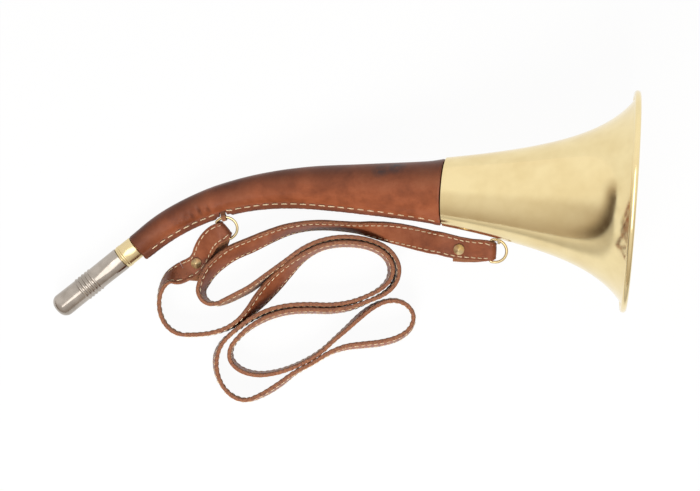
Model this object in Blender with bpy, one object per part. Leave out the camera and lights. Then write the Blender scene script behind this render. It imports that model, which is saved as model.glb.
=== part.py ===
"""Leather-covered reed horn (hunting bugle) with a stitched carrying strap.

Units are metres and +Z is up. The horn lies on a level surface on three points:
the bell's rim, the outside of the bend and the mouthpiece's tip. The shape is
built in the horn's own frame (u along the axis from the bell, v towards the
inside of the bend, w square to both) and is then laid down on those points.
"""
import math

import bpy
import numpy as np
from mathutils import Matrix, Vector

for old in list(bpy.data.objects):
    bpy.data.objects.remove(old, do_unlink=True)

# ---------------------------------------------------------------- sizes
GAP = 0.0003                      # clearance between fitted or soldered pieces
BELL_SIDES = 32                   # facets round the bell, its wire and its sleeve
TUBE_SIDES = 24                   # facets round the slimmer turned pieces

# centre line of the horn
HORN_LENGTH = 0.3670              # along the axis, rim to mouthpiece tip
BEND_START = 0.1595
BEND_END = 0.2948
BEND_ANGLE = math.radians(44.0)
BEND_EASE = 1.564                 # power by which the turn grows along the bend
HEADING_ON_TABLE = math.radians(-3.88)

# bell
BELL_DIAMETER = 0.125
BELL_WALL = 0.0006
BELL_LENGTH = 0.1070              # rim to the edge of the leather
FLARE_SCALE = 0.0169
FLARE_POWER = 0.447
FLARE_TAPER = 0.0485
BEAD_RADIUS = 0.00175             # outside radius of the rolled rim
BEAD_TURN = math.radians(285)
SPIGOT_LENGTH = 0.016             # bell tail under the leather

# leather cover
LEATHER = 0.0013
COVER_END = 0.3050
COVER_RADII = [
    (0.1070, 0.0193), (0.1180, 0.0174), (0.1500, 0.0143),
    (0.1900, 0.0112), (0.2350, 0.0088), (0.3050, 0.0073),
]
FIN_HEIGHT = 0.0034
FIN_THICKNESS = 0.0028
FIN_TAPER_LENGTH = 0.070          # the seam shrinks towards the bell
FIN_BELL_HEIGHT = 0.0014
COVER_SIDES = 34

# tube, sleeve, collar
TUBE_WALL = 0.0005
SLEEVE_WALL = 0.0005
SLEEVE_HALF = 0.011
COLLAR_RADIUS = 0.00715
COLLAR_LENGTH = 0.0117
COLLAR_WALL = 0.0006
COLLAR_RING = 0.0003
COLLAR_TAIL = 0.010
SOCKET_LENGTH = 0.014             # collar spigot inside the mouthpiece

# mouthpiece
MOUTHPIECE_RADIUS = 0.0073
MOUTHPIECE_WALL = 0.0008
TIP_RADIUS = 0.0050
TIP_WALL = 0.0015
BLOW_HOLE_RADIUS = 0.0029
GRIP_RINGS = 5
GRIP_PITCH = 0.0024
GRIP_HEIGHT = 0.00035
GRIP_CENTRE = 0.0250              # from the tip

# reed
SHALLOT_RADIUS = 0.0030
SHALLOT_BORE = 0.0019
SHALLOT_LENGTH = 0.034
SHALLOT_FLAT = 0.0023
SHALLOT_ROUND = 0.0180            # round length held by the cork
SLOT_WIDTH = 0.0022
SLOT_LENGTH = 0.0090
CORK_LENGTH = 0.0080
TONGUE_WIDTH = 0.0036
TONGUE_THICKNESS = 0.00025
TONGUE_LENGTH = 0.0124
CLAMP_SIZE = (0.0032, 0.0046, 0.0012)

# rings and their holders
WIRE_RADIUS = 0.00085
RING_RADIUS = 0.00675             # centre line of the D's round side
BAR_OFFSET = 0.0027               # bar from the centre of the round side
RING_CORNER = 0.0012
EYE_CLEARANCE = 0.0006
EYE_WALL = 0.0008
LUG_STATION = 0.0745
LUG_SWING = math.radians(25)      # below the level, seen along the bell
LUG_THICKNESS = 0.0016
LUG_SINK = 0.0006                 # foot below the eye wall, reaching for the flare
LUG_HOLE_X = 0.00205              # eye from the D's centre, along the bell
BELL_RING_DROP = math.radians(12)
KEEPER_STATION = 0.2457
KEEPER_THICKNESS = 0.0028
KEEPER_HOLE_X = 0.0010            # keeper from the D's centre, along the tube
KEEPER_NOTCH = 0.0090             # gap in the seam where the keeper sits
NOTCH_FLOOR = 0.0004              # seam left standing in that gap
KEEPER_RISE = 0.0009              # keeper foot above the notch
COVER_RING_TURN = math.radians(20)
COVER_RING_DROP = math.radians(14)

# strap
STRAP_WIDTH = 0.0140
STRAP_THICKNESS = 0.0024
FOLD_WIDTH = 0.0100               # between the legs of a ring

# studs
STUD_HEAD_RADIUS = 0.0032
STUD_HEAD_HEIGHT = 0.0026
STUD_SHAFT_RADIUS = 0.0012
STUD_FOOT_RADIUS = 0.0026
STUD_FOOT_HEIGHT = 0.0007


# ---------------------------------------------------------------- mesh helpers
def material(name, colour, metallic, roughness):
    """A plain material of one colour."""
    mat = bpy.data.materials.new(name)
    mat.use_nodes = True
    shader = mat.node_tree.nodes["Principled BSDF"]
    shader.inputs["Base Color"].default_value = (*colour, 1.0)
    shader.inputs["Metallic"].default_value = metallic
    shader.inputs["Roughness"].default_value = roughness
    return mat


def add_object(name, verts, faces, mat, smooth=True, pivot=None):
    """One closed mesh with its origin at pivot."""
    origin = Vector(pivot) if pivot is not None else Vector((0, 0, 0))
    mesh = bpy.data.meshes.new(name)
    mesh.from_pydata([Vector(v) - origin for v in verts], [], faces)
    mesh.validate()
    mesh.materials.append(mat)
    for face in mesh.polygons:
        face.use_smooth = smooth
    if smooth:
        mesh.set_sharp_from_angle(angle=math.radians(35))
    obj = bpy.data.objects.new(name, mesh)
    obj.location = origin
    bpy.context.collection.objects.link(obj)
    return obj


def cubic_through(points, x):
    """Smooth value at x through a few (x, y) points."""
    xs = [p[0] for p in points]
    ys = [p[1] for p in points]
    if x <= xs[0]:
        return ys[0]
    if x >= xs[-1]:
        return ys[-1]
    i = max(k for k in range(len(xs) - 1) if xs[k] <= x)

    def slope(k):
        """Slope of the curve at the k-th point."""
        lo = max(k - 1, 0)
        hi = min(k + 1, len(xs) - 1)
        return (ys[hi] - ys[lo]) / (xs[hi] - xs[lo])

    step = xs[i + 1] - xs[i]
    t = (x - xs[i]) / step
    return (
        (2 * t ** 3 - 3 * t ** 2 + 1) * ys[i]
        + (t ** 3 - 2 * t ** 2 + t) * step * slope(i)
        + (3 * t ** 2 - 2 * t ** 3) * ys[i + 1]
        + (t ** 3 - t ** 2) * step * slope(i + 1)
    )


def loft(rings, closed):
    """Quads between rings of equal length; closed joins the last to the first."""
    count = len(rings[0])
    verts = [point for ring in rings for point in ring]
    faces = []
    last = len(rings) if closed else len(rings) - 1
    for i in range(last):
        a = i * count
        b = ((i + 1) % len(rings)) * count
        for k in range(count):
            n = (k + 1) % count
            faces.append((a + k, a + n, b + n, b + k))
    if not closed:
        faces.append(tuple(reversed(range(count))))
        faces.append(tuple(range((len(rings) - 1) * count, len(rings) * count)))
    return verts, faces


def outward(verts, faces):
    """Turn every face over when the mesh encloses a negative volume."""
    total = 0.0
    for face in faces:
        for k in range(1, len(face) - 1):
            a = Vector(verts[face[0]])
            b = Vector(verts[face[k]])
            c = Vector(verts[face[k + 1]])
            total += a.dot(b.cross(c))
    if total < 0:
        faces = [tuple(reversed(face)) for face in faces]
    return verts, faces


# ---------------------------------------------------------------- centre line
def heading(s):
    """Direction of the axis, turning faster towards the mouthpiece."""
    t = min(max((s - BEND_START) / (BEND_END - BEND_START), 0.0), 1.0)
    return BEND_ANGLE * t ** BEND_EASE


AXIS_STEPS = 1461
AXIS_S = np.linspace(0.0, HORN_LENGTH, AXIS_STEPS)
AXIS_H = np.array([heading(s) for s in AXIS_S])
AXIS_DS = HORN_LENGTH / (AXIS_STEPS - 1)
AXIS_U = np.concatenate(([0.0], np.cumsum(np.cos((AXIS_H[1:] + AXIS_H[:-1]) / 2)) * AXIS_DS))
AXIS_V = np.concatenate(([0.0], np.cumsum(np.sin((AXIS_H[1:] + AXIS_H[:-1]) / 2)) * AXIS_DS))


def axis_point(s):
    """Point of the axis at s, carried on straight past the tip."""
    u = float(np.interp(s, AXIS_S, AXIS_U))
    v = float(np.interp(s, AXIS_S, AXIS_V))
    if s > HORN_LENGTH:
        u += (s - HORN_LENGTH) * math.cos(BEND_ANGLE)
        v += (s - HORN_LENGTH) * math.sin(BEND_ANGLE)
    return Vector((u, v, 0.0))


def axis_frame(s):
    """Centre, direction, inside-of-bend normal and side normal at s."""
    h = heading(s)
    tangent = Vector((math.cos(h), math.sin(h), 0.0))
    normal = Vector((-math.sin(h), math.cos(h), 0.0))
    return axis_point(s), tangent, normal, Vector((0.0, 0.0, 1.0))


def at(s, across, side):
    """Local point at station s, offset towards the inside of the bend and sideways."""
    centre, _, normal, binormal = axis_frame(s)
    return centre + normal * across + binormal * side


def turned(profile, sides=TUBE_SIDES):
    """Closed (s, r) outline carried round the axis."""
    rings = []
    for s, r in profile:
        rings.append([
            at(s, r * math.cos(2 * math.pi * k / sides), r * math.sin(2 * math.pi * k / sides))
            for k in range(sides)
        ])
    return outward(*loft(rings, True))


def sheet(path, wall):
    """Outline of a sheet of the given wall, centred on an open (s, r) path."""
    left = []
    right = []
    for i, point in enumerate(path):
        before = path[max(i - 1, 0)]
        after = path[min(i + 1, len(path) - 1)]
        d1 = np.subtract(point, before) if i > 0 else np.subtract(after, point)
        d2 = np.subtract(after, point) if i < len(path) - 1 else d1
        d1 = d1 / np.linalg.norm(d1)
        d2 = d2 / np.linalg.norm(d2)
        n = np.array([-(d1 + d2)[1], (d1 + d2)[0]])
        n = n / np.linalg.norm(n)
        reach = wall / 2 / max(float(np.dot(n, [-d1[1], d1[0]])), 0.5)
        left.append((point[0] + n[0] * reach, point[1] + n[1] * reach))
        right.append((point[0] - n[0] * reach, point[1] - n[1] * reach))
    return left + right[::-1]


def arc(centre, radius, start, turn, steps):
    """Points of a circle arc in the (s, r) plane."""
    return [
        (
            centre[0] + radius * math.cos(start + turn * k / steps),
            centre[1] + radius * math.sin(start + turn * k / steps),
        )
        for k in range(steps + 1)
    ]


# ---------------------------------------------------------------- radii along the horn
def cover_radius(s):
    """Outer radius of the leather at s."""
    return cubic_through(COVER_RADII, s)


def cover_inner(s):
    """Inner radius of the leather at s."""
    return cover_radius(s) - LEATHER


COVER_START = BELL_LENGTH + 2 * GAP
COVER_STATIONS = [COVER_START + (COVER_END - COVER_START) * k / 13 for k in range(14)]


def notched_stations():
    """Stations of the cover, with pairs at the steps of the notch in its seam."""
    stations = list(COVER_STATIONS)
    for side in (-1, 1):
        edge = KEEPER_STATION + side * KEEPER_NOTCH / 2
        stations.extend([edge - side * 0.00002, edge + side * 0.0004])
    return sorted(stations)


CURL_RADIUS = BEAD_RADIUS - BELL_WALL / 2
FLARE_RIM = BELL_DIAMETER / 2 - 0.0008


def flare_radius(s):
    """Outer radius of the bell behind the rolled rim."""
    grown = FLARE_RIM * (FLARE_SCALE / (s + FLARE_SCALE)) ** FLARE_POWER
    return grown - FLARE_TAPER * s


def build_bell():
    """Flare, rolled rim and the stepped tail that the leather covers."""
    path = []
    tail_end = BELL_LENGTH + SPIGOT_LENGTH
    tail = [s for s in COVER_STATIONS if s < tail_end - 0.001][1:] + [tail_end]
    for s in reversed([BELL_LENGTH + GAP] + tail):
        path.append((s, cover_inner(s) - GAP - BELL_WALL / 2))
    for t in (1.0, 0.84, 0.69, 0.55, 0.42, 0.31, 0.21, 0.13, 0.07, 0.03):
        s = (BELL_LENGTH - 2 * GAP) * t
        path.append((s, flare_radius(s) - BELL_WALL / 2))
    # meet the curl where the flare's slope carries on round it
    slope = math.atan2(path[-1][1] - path[-2][1], path[-2][0] - path[-1][0])
    slope += math.radians(6)
    side = (math.sin(slope), math.cos(slope))
    centre_r = BELL_DIAMETER / 2 - BEAD_RADIUS
    centre_s = BEAD_RADIUS
    start = math.atan2(-side[1], -side[0])
    curl = arc((centre_s, centre_r), CURL_RADIUS, start, -BEAD_TURN, 10)
    path.extend(curl)
    return turned(sheet(path, BELL_WALL), BELL_SIDES), (centre_s, centre_r)


def build_rim_wire(centre):
    """Wire hoop inside the rolled rim."""
    radius = BEAD_RADIUS - BELL_WALL - GAP
    return turned(arc(centre, radius, 0.0, 2 * math.pi, 6)[:-1], BELL_SIDES)


def build_sleeve():
    """Soldered sleeve inside the joint of bell tail and tube."""
    joint = BELL_LENGTH + SPIGOT_LENGTH
    path = []
    for k in range(4):
        s = joint - SLEEVE_HALF + 2 * SLEEVE_HALF * k / 3
        outer = cover_inner(s) - GAP - BELL_WALL - GAP
        path.append((s, outer - SLEEVE_WALL / 2))
    return turned(sheet(path, SLEEVE_WALL))


def build_tube():
    """Metal tube under the leather, from the tail of the bell to the collar."""
    start = BELL_LENGTH + SPIGOT_LENGTH + GAP
    end = COVER_END - GAP
    stations = [start] + [s for s in notched_stations() if start + 0.002 < s < end - 0.002] + [end]
    path = [(s, cover_inner(s) - GAP - TUBE_WALL / 2) for s in stations]
    return turned(sheet(path, TUBE_WALL))


# the collar's nested radii, outside in
TUBE_END_BORE = cubic_through(COVER_RADII, COVER_END) - LEATHER - GAP - TUBE_WALL
COLLAR_TAIL_RADIUS = TUBE_END_BORE - GAP
SOCKET_RADIUS = MOUTHPIECE_RADIUS - MOUTHPIECE_WALL - GAP
COLLAR_BORE = min(COLLAR_TAIL_RADIUS, SOCKET_RADIUS) - COLLAR_WALL
COLLAR_START = COVER_END + GAP
COLLAR_FACE = COLLAR_START + COLLAR_LENGTH - 2 * GAP


def build_collar():
    """Stepped collar: tail in the tube, two beads, and the socket for the mouthpiece."""
    ring = COLLAR_FACE - 0.0022
    profile = [
        (COLLAR_START - COLLAR_TAIL, COLLAR_TAIL_RADIUS),
        (COLLAR_START, COLLAR_TAIL_RADIUS),
        (COLLAR_START, COLLAR_RADIUS),
        (ring - 0.0013, COLLAR_RADIUS),
        (ring - 0.0008, COLLAR_RADIUS + COLLAR_RING),
        (ring, COLLAR_RADIUS),
        (ring + 0.0008, COLLAR_RADIUS + COLLAR_RING),
        (ring + 0.0013, COLLAR_RADIUS),
        (COLLAR_FACE, COLLAR_RADIUS),
        (COLLAR_FACE, SOCKET_RADIUS),
        (COLLAR_FACE + SOCKET_LENGTH, SOCKET_RADIUS),
        (COLLAR_FACE + SOCKET_LENGTH, COLLAR_BORE),
        (COLLAR_START - COLLAR_TAIL, COLLAR_BORE),
    ]
    return turned(profile)


def build_mouthpiece():
    """Plain shell with fine grip rings, a rounded tip and a blow hole."""
    start = COLLAR_FACE + GAP
    r = MOUTHPIECE_RADIUS
    profile = [(start, r)]
    first = HORN_LENGTH - GRIP_CENTRE - GRIP_PITCH * (GRIP_RINGS - 1) / 2
    for k in range(GRIP_RINGS):
        s = first + k * GRIP_PITCH
        profile.append((s - GRIP_PITCH * 0.40, r))
        profile.append((s, r + GRIP_HEIGHT))
        profile.append((s + GRIP_PITCH * 0.40, r))
    round_centre = (HORN_LENGTH - TIP_RADIUS, r - TIP_RADIUS)
    profile.extend(arc(round_centre, TIP_RADIUS, math.pi / 2, -math.pi / 2 * 0.86, 5))
    profile.append((HORN_LENGTH, BLOW_HOLE_RADIUS))
    profile.append((HORN_LENGTH - TIP_WALL, BLOW_HOLE_RADIUS))
    inner = r - MOUTHPIECE_WALL
    inner_round = TIP_RADIUS - TIP_WALL
    centre = (HORN_LENGTH - TIP_WALL - inner_round, inner - inner_round)
    profile.extend(arc(centre, inner_round, math.pi / 2, -math.pi / 2 * 0.9, 3)[::-1])
    profile.append((start, inner))
    return turned(profile)


# ---------------------------------------------------------------- leather cover
def fin_height(s):
    """Seam edge above the leather: full length, lower at the bell and at the keeper."""
    grow = min((s - BELL_LENGTH) / FIN_TAPER_LENGTH, 1.0)
    height = FIN_BELL_HEIGHT + (FIN_HEIGHT - FIN_BELL_HEIGHT) * grow
    if abs(s - KEEPER_STATION) < KEEPER_NOTCH / 2:
        return NOTCH_FLOOR
    return height


def cover_ring(s, radius, fin):
    """Section of the cover; the seam fin stands towards the inside of the bend."""
    half = FIN_THICKNESS / 2
    count = COVER_SIDES - 2
    if fin is None:
        first = math.asin(half / (radius + LEATHER))
        angles = [first + (2 * math.pi - 2 * first) * k / (count - 1) for k in range(count)]
        points = [(radius * math.cos(a), radius * math.sin(a)) for a in angles]
        tips = [(radius * math.cos(first * f), radius * math.sin(first * f)) for f in (-0.34, 0.34)]
    else:
        first = math.asin(half / radius)
        angles = [first + (2 * math.pi - 2 * first) * k / (count - 1) for k in range(count)]
        points = [(radius * math.cos(a), radius * math.sin(a)) for a in angles]
        tips = [(radius + fin, -half * 0.94), (radius + fin, half * 0.94)]
    return [at(s, p[0], p[1]) for p in points + tips]


def build_cover():
    stations = notched_stations()
    rings = [cover_ring(s, cover_radius(s), fin_height(s)) for s in stations]
    rings += [cover_ring(s, cover_inner(s), None) for s in reversed(stations)]
    return outward(*loft(rings, True))


# ---------------------------------------------------------------- reed
REED_START = COLLAR_FACE - 0.006
REED_END = REED_START + SHALLOT_LENGTH
SHALLOT_SIDES = 20


def build_shallot():
    """Tube closed at the mouthpiece end, with a flat for the tongue."""
    flat_from = REED_START + SHALLOT_ROUND
    outline = [
        (REED_START, SHALLOT_RADIUS), (flat_from - 0.0001, SHALLOT_RADIUS),
        (flat_from, SHALLOT_RADIUS), (REED_END - 0.0008, SHALLOT_RADIUS),
        (REED_END, SHALLOT_RADIUS - 0.0008),
    ]
    verts = []
    for i, (s, r) in enumerate(outline):
        for k in range(SHALLOT_SIDES):
            angle = 2 * math.pi * (k + 0.5) / SHALLOT_SIDES
            across = r * math.sin(angle)
            if i >= 2:
                across = min(across, SHALLOT_FLAT)
            verts.append(at(s, across, r * math.cos(angle)))
    bore_from = len(verts)
    for s in (REED_END - 0.0012, REED_START):
        for k in range(SHALLOT_SIDES):
            angle = 2 * math.pi * (k + 0.5) / SHALLOT_SIDES
            verts.append(at(s, SHALLOT_BORE * math.sin(angle), SHALLOT_BORE * math.cos(angle)))
    faces = []
    n = SHALLOT_SIDES
    for i in range(len(outline) - 1):
        for k in range(n):
            m = (k + 1) % n
            faces.append((i * n + k, i * n + m, (i + 1) * n + m, (i + 1) * n + k))
    faces.append(tuple((len(outline) - 1) * n + k for k in range(n)))
    faces.append(tuple(bore_from + k for k in reversed(range(n))))
    for k in range(n):
        m = (k + 1) % n
        faces.append((bore_from + k, bore_from + m, bore_from + n + m, bore_from + n + k))
        faces.append((bore_from + n + k, bore_from + n + m, m, k))
    return verts, faces


def block(s0, s1, low, high, half):
    """Box along the axis from s0 to s1, low to high on the bend side."""
    corners = []
    for s in (s0, s1):
        for across, side in ((low, -half), (high, -half), (high, half), (low, half)):
            corners.append(at(s, across, side))
    faces = [(0, 1, 2, 3), (7, 6, 5, 4)]
    faces += [(k, k + 4, (k + 1) % 4 + 4, (k + 1) % 4) for k in range(4)]
    return outward(corners, faces)


CLAMP_START = COLLAR_FACE + SOCKET_LENGTH + 0.0008
TONGUE_ROOT = CLAMP_START + CLAMP_SIZE[0] / 2
TONGUE_LOW = SHALLOT_FLAT + GAP
CLAMP_LOW = TONGUE_LOW + TONGUE_THICKNESS + GAP


# ---------------------------------------------------------------- laying the horn down
def lowest(points, up):
    """The point lying furthest against up."""
    return min(points, key=lambda p: p.dot(up))


def resting_direction(groups):
    """Upward direction, in the horn's frame, when the three groups touch a level plane."""
    up = Vector((-0.22, 0.24, 0.95)).normalized()
    for _ in range(60):
        a, b, c = [lowest(group, up) for group in groups]
        plane = (b - a).cross(c - a).normalized()
        if plane.z < 0:
            plane = -plane
        if (plane - up).length < 1e-9:
            break
        up = (up + plane).normalized()
    return up, lowest(groups[0], up)


local = {}
local["bell"], BEAD_CENTRE = build_bell()
local["bell_rim_wire"] = build_rim_wire(BEAD_CENTRE)
local["tube_sleeve"] = build_sleeve()
local["body_tube"] = build_tube()
local["mouth_collar"] = build_collar()
local["mouthpiece"] = build_mouthpiece()
local["leather_cover"] = build_cover()

UP, CONTACT = resting_direction([
    [Vector(v) for v in local["bell"][0]],
    [Vector(v) for v in local["leather_cover"][0]],
    [Vector(v) for v in local["mouthpiece"][0]],
])
EAST = Vector((-1, 0, 0)) - UP * Vector((-1, 0, 0)).dot(UP)
EAST.normalize()
NORTH = UP.cross(EAST)
TURN = Matrix((EAST, NORTH, UP))
TURN = Matrix.Rotation(HEADING_ON_TABLE, 3, "Z") @ TURN
CORNERS = [TURN @ Vector(v) for name in ("bell", "leather_cover", "mouthpiece") for v in local[name][0]]
LOW = Vector([min(c[i] for c in CORNERS) for i in range(3)])
HIGH = Vector([max(c[i] for c in CORNERS) for i in range(3)])
SHIFT = Vector((-(LOW.x + HIGH.x) / 2, -(LOW.y + HIGH.y) / 2, -LOW.z))


def world(point):
    """A point of the horn as it lies on the table."""
    return TURN @ Vector(point) + SHIFT


def world_dir(direction):
    """A direction of the horn as it lies on the table."""
    return TURN @ Vector(direction)


def place(name, shape, mat, pivot=None, smooth=True):
    """Add a shape of the horn where it lies on the table."""
    verts, faces = shape
    return add_object(name, [world(v) for v in verts], faces, mat, smooth, pivot)


BRASS = material("brass", (0.83, 0.66, 0.36), 1.0, 0.22)
BRASS_INNER = material("brass_plain", (0.72, 0.56, 0.30), 1.0, 0.35)
STEEL = material("steel_wire", (0.55, 0.55, 0.56), 1.0, 0.35)
NICKEL = material("nickel_plate", (0.78, 0.76, 0.73), 1.0, 0.18)
COVER_LEATHER = material("cover_leather", (0.20, 0.065, 0.03), 0.0, 0.45)
STRAP_LEATHER = material("strap_leather", (0.22, 0.08, 0.04), 0.0, 0.5)
CORK = material("cork", (0.60, 0.42, 0.25), 0.0, 0.8)
REED_METAL = material("reed_bronze", (0.75, 0.55, 0.30), 1.0, 0.3)

MOUTH_PIVOT = world(axis_point(HORN_LENGTH))
place("bell", local["bell"], BRASS)
place("bell_rim_wire", local["bell_rim_wire"], STEEL)
place("tube_sleeve", local["tube_sleeve"], BRASS_INNER)
place("body_tube", local["body_tube"], BRASS_INNER)
place("mouth_collar", local["mouth_collar"], BRASS)
place("leather_cover", local["leather_cover"], COVER_LEATHER)
place("mouthpiece", local["mouthpiece"], NICKEL, MOUTH_PIVOT)

# ---------------------------------------------------------------- rings and eyes
def round_wire(path, plane, radius, sides=8):
    """Closed round wire along a closed flat path."""
    rings = []
    count = len(path)
    for i in range(count):
        along = (path[(i + 1) % count] - path[i - 1]).normalized()
        inward = plane.cross(along)
        rings.append([
            path[i]
            + inward * (radius * math.cos(2 * math.pi * (k + 0.5) / sides))
            + plane * (radius * math.sin(2 * math.pi * (k + 0.5) / sides))
            for k in range(sides)
        ])
    return outward(*loft(rings, True))


def d_ring_path(centre, forward, side):
    """D outline: half round towards forward, straight bar behind the centre."""
    path = []
    for k in range(13):
        a = -math.pi / 2 + math.pi * k / 12
        path.append(centre + (forward * math.cos(a) + side * math.sin(a)) * RING_RADIUS)
    for sign in (1, -1):
        for k in range(4):
            a = math.pi / 2 * k / 3
            if sign < 0:
                a = math.pi / 2 - a
            x = -BAR_OFFSET + RING_CORNER - RING_CORNER * math.sin(a)
            y = sign * (RING_RADIUS - RING_CORNER + RING_CORNER * math.cos(a))
            path.append(centre + forward * x + side * y)
    return path


def eye(hole, axis, outside, foot, half_width, thickness):
    """Flat eye: a foot towards the horn and a round hole for the ring's wire."""
    side = axis.cross(outside)
    bore = WIRE_RADIUS + EYE_CLEARANCE
    outer_radius = bore + EYE_WALL
    count = 20
    loops = []
    for offset in (-thickness / 2, thickness / 2):
        outer = []
        inner = []
        for k in range(count):
            a = 2 * math.pi * k / count
            c = math.cos(a)
            s = math.sin(a)
            reach = outer_radius
            if c < -0.25:
                box = foot / -c
                if abs(s) > 1e-6:
                    box = min(box, half_width / abs(s))
                reach = max(reach, box)
            outer.append(hole + axis * offset + (outside * c + side * s) * reach)
            inner.append(hole + axis * offset + (outside * c + side * s) * bore)
        loops.append((outer, inner))
    rings = [loops[0][0], loops[1][0], loops[1][1], loops[0][1]]
    return outward(*loft(rings, True))


EYE_BORE = WIRE_RADIUS + EYE_CLEARANCE
EYE_OUTER = EYE_BORE + EYE_WALL

# lug on the bell: its hole runs along the bell
BELL_AXIS = world_dir((-1, 0, 0)).normalized()
BELL_LEVEL = Vector((0, 0, 1)).cross(BELL_AXIS).normalized() * -1
BELL_DOWN = BELL_AXIS.cross(BELL_LEVEL).normalized()
if BELL_DOWN.z > 0:
    BELL_DOWN = -BELL_DOWN
LUG_OUT = BELL_LEVEL * math.cos(LUG_SWING) + BELL_DOWN * math.sin(LUG_SWING)
LUG_FOOT = LUG_SINK + GAP
LUG_REACH = flare_radius(LUG_STATION - LUG_THICKNESS / 2) + GAP + LUG_FOOT + EYE_OUTER
LUG_HOLE = world(axis_point(LUG_STATION)) + LUG_OUT * LUG_REACH
add_object(
    "bell_lug",
    *eye(LUG_HOLE, BELL_AXIS, LUG_OUT, LUG_FOOT + EYE_OUTER, 0.0026, LUG_THICKNESS),
    BRASS,
)

# ring on the bell
BELL_RING_OUT = BELL_LEVEL * math.cos(BELL_RING_DROP) + BELL_DOWN * math.sin(BELL_RING_DROP)
LUG_HOLE_Y = math.sqrt(RING_RADIUS ** 2 - LUG_HOLE_X ** 2)
BELL_RING_CENTRE = LUG_HOLE + BELL_RING_OUT * LUG_HOLE_Y - BELL_AXIS * LUG_HOLE_X
BELL_RING_PLANE = BELL_AXIS.cross(BELL_RING_OUT).normalized()
if BELL_RING_PLANE.z < 0:
    BELL_RING_PLANE = -BELL_RING_PLANE
add_object(
    "d_ring_bell",
    *round_wire(
        d_ring_path(BELL_RING_CENTRE, BELL_AXIS, BELL_RING_OUT), BELL_RING_PLANE, WIRE_RADIUS,
    ),
    BRASS,
    pivot=LUG_HOLE,
)

# keeper in the seam: its hole runs along the tube
KEEPER_CENTRE, KEEPER_AXIS, KEEPER_OUT, _ = axis_frame(KEEPER_STATION)
KEEPER_REACH = cover_radius(KEEPER_STATION) + NOTCH_FLOOR + GAP + KEEPER_RISE + EYE_OUTER
KEEPER_HOLE = world(KEEPER_CENTRE + KEEPER_OUT * KEEPER_REACH)
COVER_AXIS = -world_dir(KEEPER_AXIS).normalized()
KEEPER_OUT = world_dir(KEEPER_OUT).normalized()
add_object(
    "ring_keeper",
    *eye(
        KEEPER_HOLE, COVER_AXIS, KEEPER_OUT, KEEPER_RISE + EYE_OUTER,
        FIN_THICKNESS / 2 - GAP, KEEPER_THICKNESS,
    ),
    STRAP_LEATHER,
)

# ring on the cover
COVER_LEVEL = Vector((0, 0, 1)).cross(COVER_AXIS).normalized() * -1
COVER_DOWN = COVER_AXIS.cross(COVER_LEVEL).normalized()
if COVER_DOWN.z > 0:
    COVER_DOWN = -COVER_DOWN
COVER_RING_OUT = COVER_LEVEL * math.cos(COVER_RING_DROP) + COVER_DOWN * math.sin(COVER_RING_DROP)
KEEPER_HOLE_Y = math.sqrt(RING_RADIUS ** 2 - KEEPER_HOLE_X ** 2)
COVER_RING_CENTRE = KEEPER_HOLE + COVER_RING_OUT * KEEPER_HOLE_Y - COVER_AXIS * KEEPER_HOLE_X
COVER_FORWARD = (
    COVER_AXIS * math.cos(COVER_RING_TURN) - COVER_RING_OUT * math.sin(COVER_RING_TURN)
)
COVER_RING_PLANE = COVER_AXIS.cross(COVER_RING_OUT).normalized()
if COVER_RING_PLANE.z < 0:
    COVER_RING_PLANE = -COVER_RING_PLANE
COVER_SIDE = COVER_RING_PLANE.cross(COVER_FORWARD).normalized()
add_object(
    "d_ring_cover",
    *round_wire(
        d_ring_path(COVER_RING_CENTRE, COVER_FORWARD, COVER_SIDE), COVER_RING_PLANE, WIRE_RADIUS,
    ),
    BRASS,
    pivot=KEEPER_HOLE,
)


# ---------------------------------------------------------------- strap
def ribbon(stations, thickness):
    """Flat strap through (centre, across, width) stations."""
    rings = []
    for i, (centre, across, width) in enumerate(stations):
        before = stations[max(i - 1, 0)][0]
        after = stations[min(i + 1, len(stations) - 1)][0]
        along = (after - before).normalized()
        wide = (across - along * across.dot(along)).normalized()
        thick = along.cross(wide)
        rings.append([
            centre + wide * (x * width / 2) + thick * (y * thickness / 2)
            for x, y in ((-1, -1), (1, -1), (1, 1), (-1, 1))
        ])
    return outward(*loft(rings, False))


def drill(obj, centre, axis, radius, length):
    """Cut a round hole right through obj."""
    ring = []
    side = axis.orthogonal().normalized()
    other = axis.cross(side)
    for z in (-length / 2, length / 2):
        ring.append([
            centre + axis * z
            + side * (radius * math.cos(2 * math.pi * k / 12))
            + other * (radius * math.sin(2 * math.pi * k / 12))
            for k in range(12)
        ])
    verts, faces = outward(*loft(ring, False))
    cutter = add_object(obj.name + "_cutter", verts, faces, STRAP_LEATHER, False)
    cutter.hide_render = True
    cutter.display_type = "WIRE"
    cut = obj.modifiers.new("hole", "BOOLEAN")
    cut.operation = "DIFFERENCE"
    cut.solver = "EXACT"
    cut.object = cutter


def spun(base, axis, profile, sides=16):
    """Solid turned about axis; profile (height, radius) starts and ends on the axis."""
    side = axis.orthogonal().normalized()
    other = axis.cross(side)
    verts = [base + axis * profile[0][0]]
    for h, r in profile[1:-1]:
        for k in range(sides):
            a = 2 * math.pi * k / sides
            verts.append(base + axis * h + (side * math.cos(a) + other * math.sin(a)) * r)
    verts.append(base + axis * profile[-1][0])
    faces = [(0, 1 + (k + 1) % sides, 1 + k) for k in range(sides)]
    for i in range(len(profile) - 3):
        a = 1 + i * sides
        b = a + sides
        faces += [
            (a + k, a + (k + 1) % sides, b + (k + 1) % sides, b + k) for k in range(sides)
        ]
    last = 1 + (len(profile) - 3) * sides
    faces += [(last + k, last + (k + 1) % sides, len(verts) - 1) for k in range(sides)]
    return outward(verts, faces)


STACK = STRAP_THICKNESS + GAP / 2         # from the middle of the stack to its outside
STUD_BORE = STUD_SHAFT_RADIUS + GAP
STUD_SOCKET = 0.0014


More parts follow.
